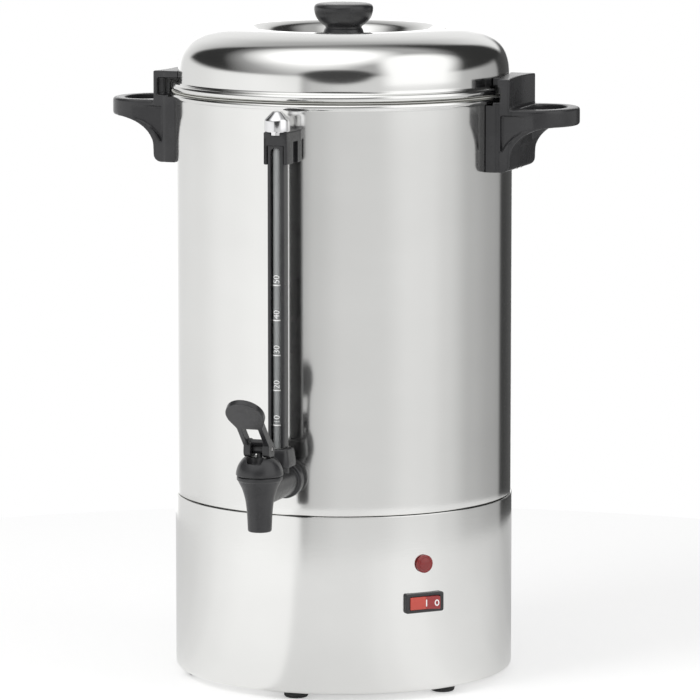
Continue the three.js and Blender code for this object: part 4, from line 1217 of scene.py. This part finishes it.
def makeRocker():
    s = panelSizes
    half, valley = s["half"], s["valley"]
    rise = half * math.tan(math.radians(s["tilt"]))
    outline = [(half, 1), (half, -valley - rise), (0.5, -valley - 0.05), (-0.5, -valley - 0.05)]
    outline += [(-half, -valley - rise), (-half, 1)] + arc((0, 1), 7.2, 180, 0, 20)
    rocker = extrudeOutline("rocker", "Z", outline, -4.5, 4.5)
    bevelEdges(rocker, 0.45, 3, 20)
    settle(placeRocker(rocker), rockerPaintedLightRed, "rocker", ["rocker"], 30)
    stroke = extrudeOutline("strokeMark", "Y", roundedOutline(0.8, 5, 0.3), -0.08, 0.22)
    ring = [ellipseArc((0, 0), radii, 0, 360, 32)[:-1] for radii in ((1.7, 2.3), (0.9, 1.5))]
    ringMark = extrudeOutline("ringMark", "Y", ring[0], -0.08, 0.22)
    cutFrom(ringMark, extrudeOutline("ringHole", "Y", ring[1], -1, 1))
    marks = joinPieces("rockerMarks", [onRocker(stroke, 1.2), onRocker(ringMark, 8.7)])
    return settle(placeRocker(marks), whiteInkPaintedGlow, "rocker", (), 40)


def makeLampLens():
    lens = spinProfile("lampLens", [
        (0, -2.2), (4.9, -2.2), (4.9, 3.2), (6.2, 3.2), (6.5, 3.5), (6.5, 4.5), (6.1, 5.1), (5.4, 5.7),
        (4.7, 5.5), (4.2, 5.9), (2.4, 6.35), (0, 6.5),
    ], 20)
    turnPiece(lens, math.pi / 2, "X")
    movePiece(lens, (0, -panelSizes["lensBack"], baseSizes["lampHeight"]))
    return settle(onPanel(lens), redLens, "vessel", ["lamp_lens"], 12)


makeSwitchFrame()
makeRocker()
makeLampLens()
print("switch and lamp made")


# Soft parts: feet under the base, the ring between tank and lid, and the tap's outer gasket
footSizes = {"count": 6, "circle": 107, "steps": 48}
footRow = [
    (0, 0), (7, 0), (7.9, 0.35), (8.6, 1.2), (9.1, 4.4), (8.9, 4.7), (4, 4.7), (4, 8.7), (3.7, 9), (0, 9),
]


def makeFeet():
    s = footSizes
    feet = [spinProfile("foot1", footRow, s["steps"])]
    feet += [copyPiece(feet[0], f"foot{i}") for i in range(2, s["count"] + 1)]
    for i, foot in enumerate(feet):
        angle = fullTurn * i / s["count"]
        movePiece(foot, (s["circle"] * math.sin(angle), -s["circle"] * math.cos(angle), 0))
        settle(foot, blackRubber, "vessel", [f"foot_{i + 1}"], 40)


def makeLidSeal():
    seal = spinProfile("lidSeal", [
        (117, 419.5), (120.4, 419.5), (120.4, 425.7), (124.1, 425.7), (124.25, 425.85), (124.25, 426.15),
        (124.1, 426.3), (117, 426.3),
    ], 192, closed=True)
    cutHookNotches(seal, 418, 427)
    return settle(seal, silicone, "lid", ["lid_seal"], 40)


def makeGasket():
    middle = (0, 0, tapSizes["shankHeight"])
    gasket = bevelEdges(bar("outerGasket", "Y", tapSizes["gasketRadius"], -126, -119, middle, 96), 0.6, 2)
    wallSpace = bar("wallSpace", "Z", tankSizes["room"], 140, 180, sides=256)
    cutFrom(gasket, wallSpace, bar("hub", "Y", tankSizes["tapHole"], -140, -100, middle, 64))
    return settle(gasket, blackRubber, "vessel", ["tap_gasket_outer"], 40)


makeFeet()
makeLidSeal()
makeGasket()
print("soft parts made")


# Filter set: a basket and a spreader, both with real holes
filterSizes = {
    "radius": 76, "low": 300, "high": 392, "lip": 81, "collar": 8, "bore": 6.3, "hole": 1.5, "rows": 5,
    "count": 40, "firstRow": 12, "rowStep": 16,
}


# Short bars standing where a sieve has its holes, ring by ring
def sieveBars(radii, radius, pitch, low, high):
    bars = []
    for turn, ring in enumerate(radii):
        count = round(fullTurn * ring / pitch)
        for i in range(count):
            angle = fullTurn * (i + (turn % 2) / 2) / count
            place = (ring * math.cos(angle), ring * math.sin(angle), 0)
            bars.append(bar("hole", "Z", radius, low, high, place, 10))
    return joinPieces("sieveHoles", bars)


def wallBars():
    s = filterSizes
    bars = []
    for row in range(s["rows"]):
        height = s["low"] + s["firstRow"] + row * s["rowStep"]
        for i in range(s["count"]):
            hole = bar("hole", "X", s["hole"], s["radius"] - 6, s["radius"] + 6, (0, 0, height), 10)
            bars.append(turnPiece(hole, fullTurn * (i + (row % 2) / 2) / s["count"]))
    return joinPieces("wallHoles", bars)


def makeBasket():
    s = filterSizes
    radius, low, high, lip, bore = s["radius"], s["low"], s["high"], s["lip"], s["bore"]
    basket = spinProfile("basket", [
        (bore, low), (radius - 1.6, low), (radius - 0.5, low + 0.5), (radius, low + 1.6),
        (radius, high - 2.4), (radius + 0.4, high - 2), (lip - 0.6, high - 2), (lip, high - 1.5),
        (lip, high - 0.5), (lip - 0.6, high), (radius - 0.6, high), (radius - 1, high - 0.4),
        (radius - 1, low + 2.2), (radius - 2, low + 1.2), (s["collar"] + 0.6, low + 1.2),
        (s["collar"], low + 1.8), (s["collar"], low + 13.6), (7.6, low + 14), (bore, low + 14),
    ], 96, closed=True)
    cutFrom(basket, sieveBars((20, 34, 48, 62), s["hole"], 9, low - 2, low + 4), wallBars())
    return settle(basket, aluminium, "filter", ["basket"], 40)


def makeSpreader():
    s = filterSizes
    low, lip = s["high"] + 0.3, s["lip"] - 0.4
    spreader = spinProfile("spreader", [
        (s["bore"] + 0.1, low), (lip - 0.4, low), (lip, low + 0.4), (lip, low + 5.3),
        (lip - 0.4, low + 5.7), (lip - 0.8, low + 5.7), (lip - 1.2, low + 5.3), (lip - 1.2, low + 1),
        (s["bore"] + 0.1, low + 1),
    ], 96, closed=True)
    cutFrom(spreader, sieveBars((18, 32, 46, 60, 72), s["hole"], 11, low - 2, low + 4))
    return settle(spreader, aluminium, "filter", ["spreader"], 40)


makeBasket()
makeSpreader()
print("filter made")


# The nodes that stay as they are get their finishes
def dress(finish, *nodes):
    for node in nodes:
        piece = bpy.data.objects[node]
        for slot in piece.material_slots:
            slot.material = finish.material


dress(plainSteel, "base_plate", "main_heater", "tap_nut", "knob_screw", "pump_foot", "riser_tube")
dress(plainSteel, "handle_bracket_right", "handle_bracket_left", *(
    f"handle_screw_{side}_{number}" for side in ("right", "left") for number in (1, 2)
))
dress(aluminium, "heat_plate", "pump_heater")
dress(ceramic, "thermostat", "thermal_cut_out", "terminal_block")
dress(blackPlastic, "inlet_socket", "lamp_holder")
dress(brass, "inlet_blade_live", "inlet_blade_neutral", "inlet_blade_earth")
dress(silicone, "tap_gasket_inner")
print("inner pieces dressed")
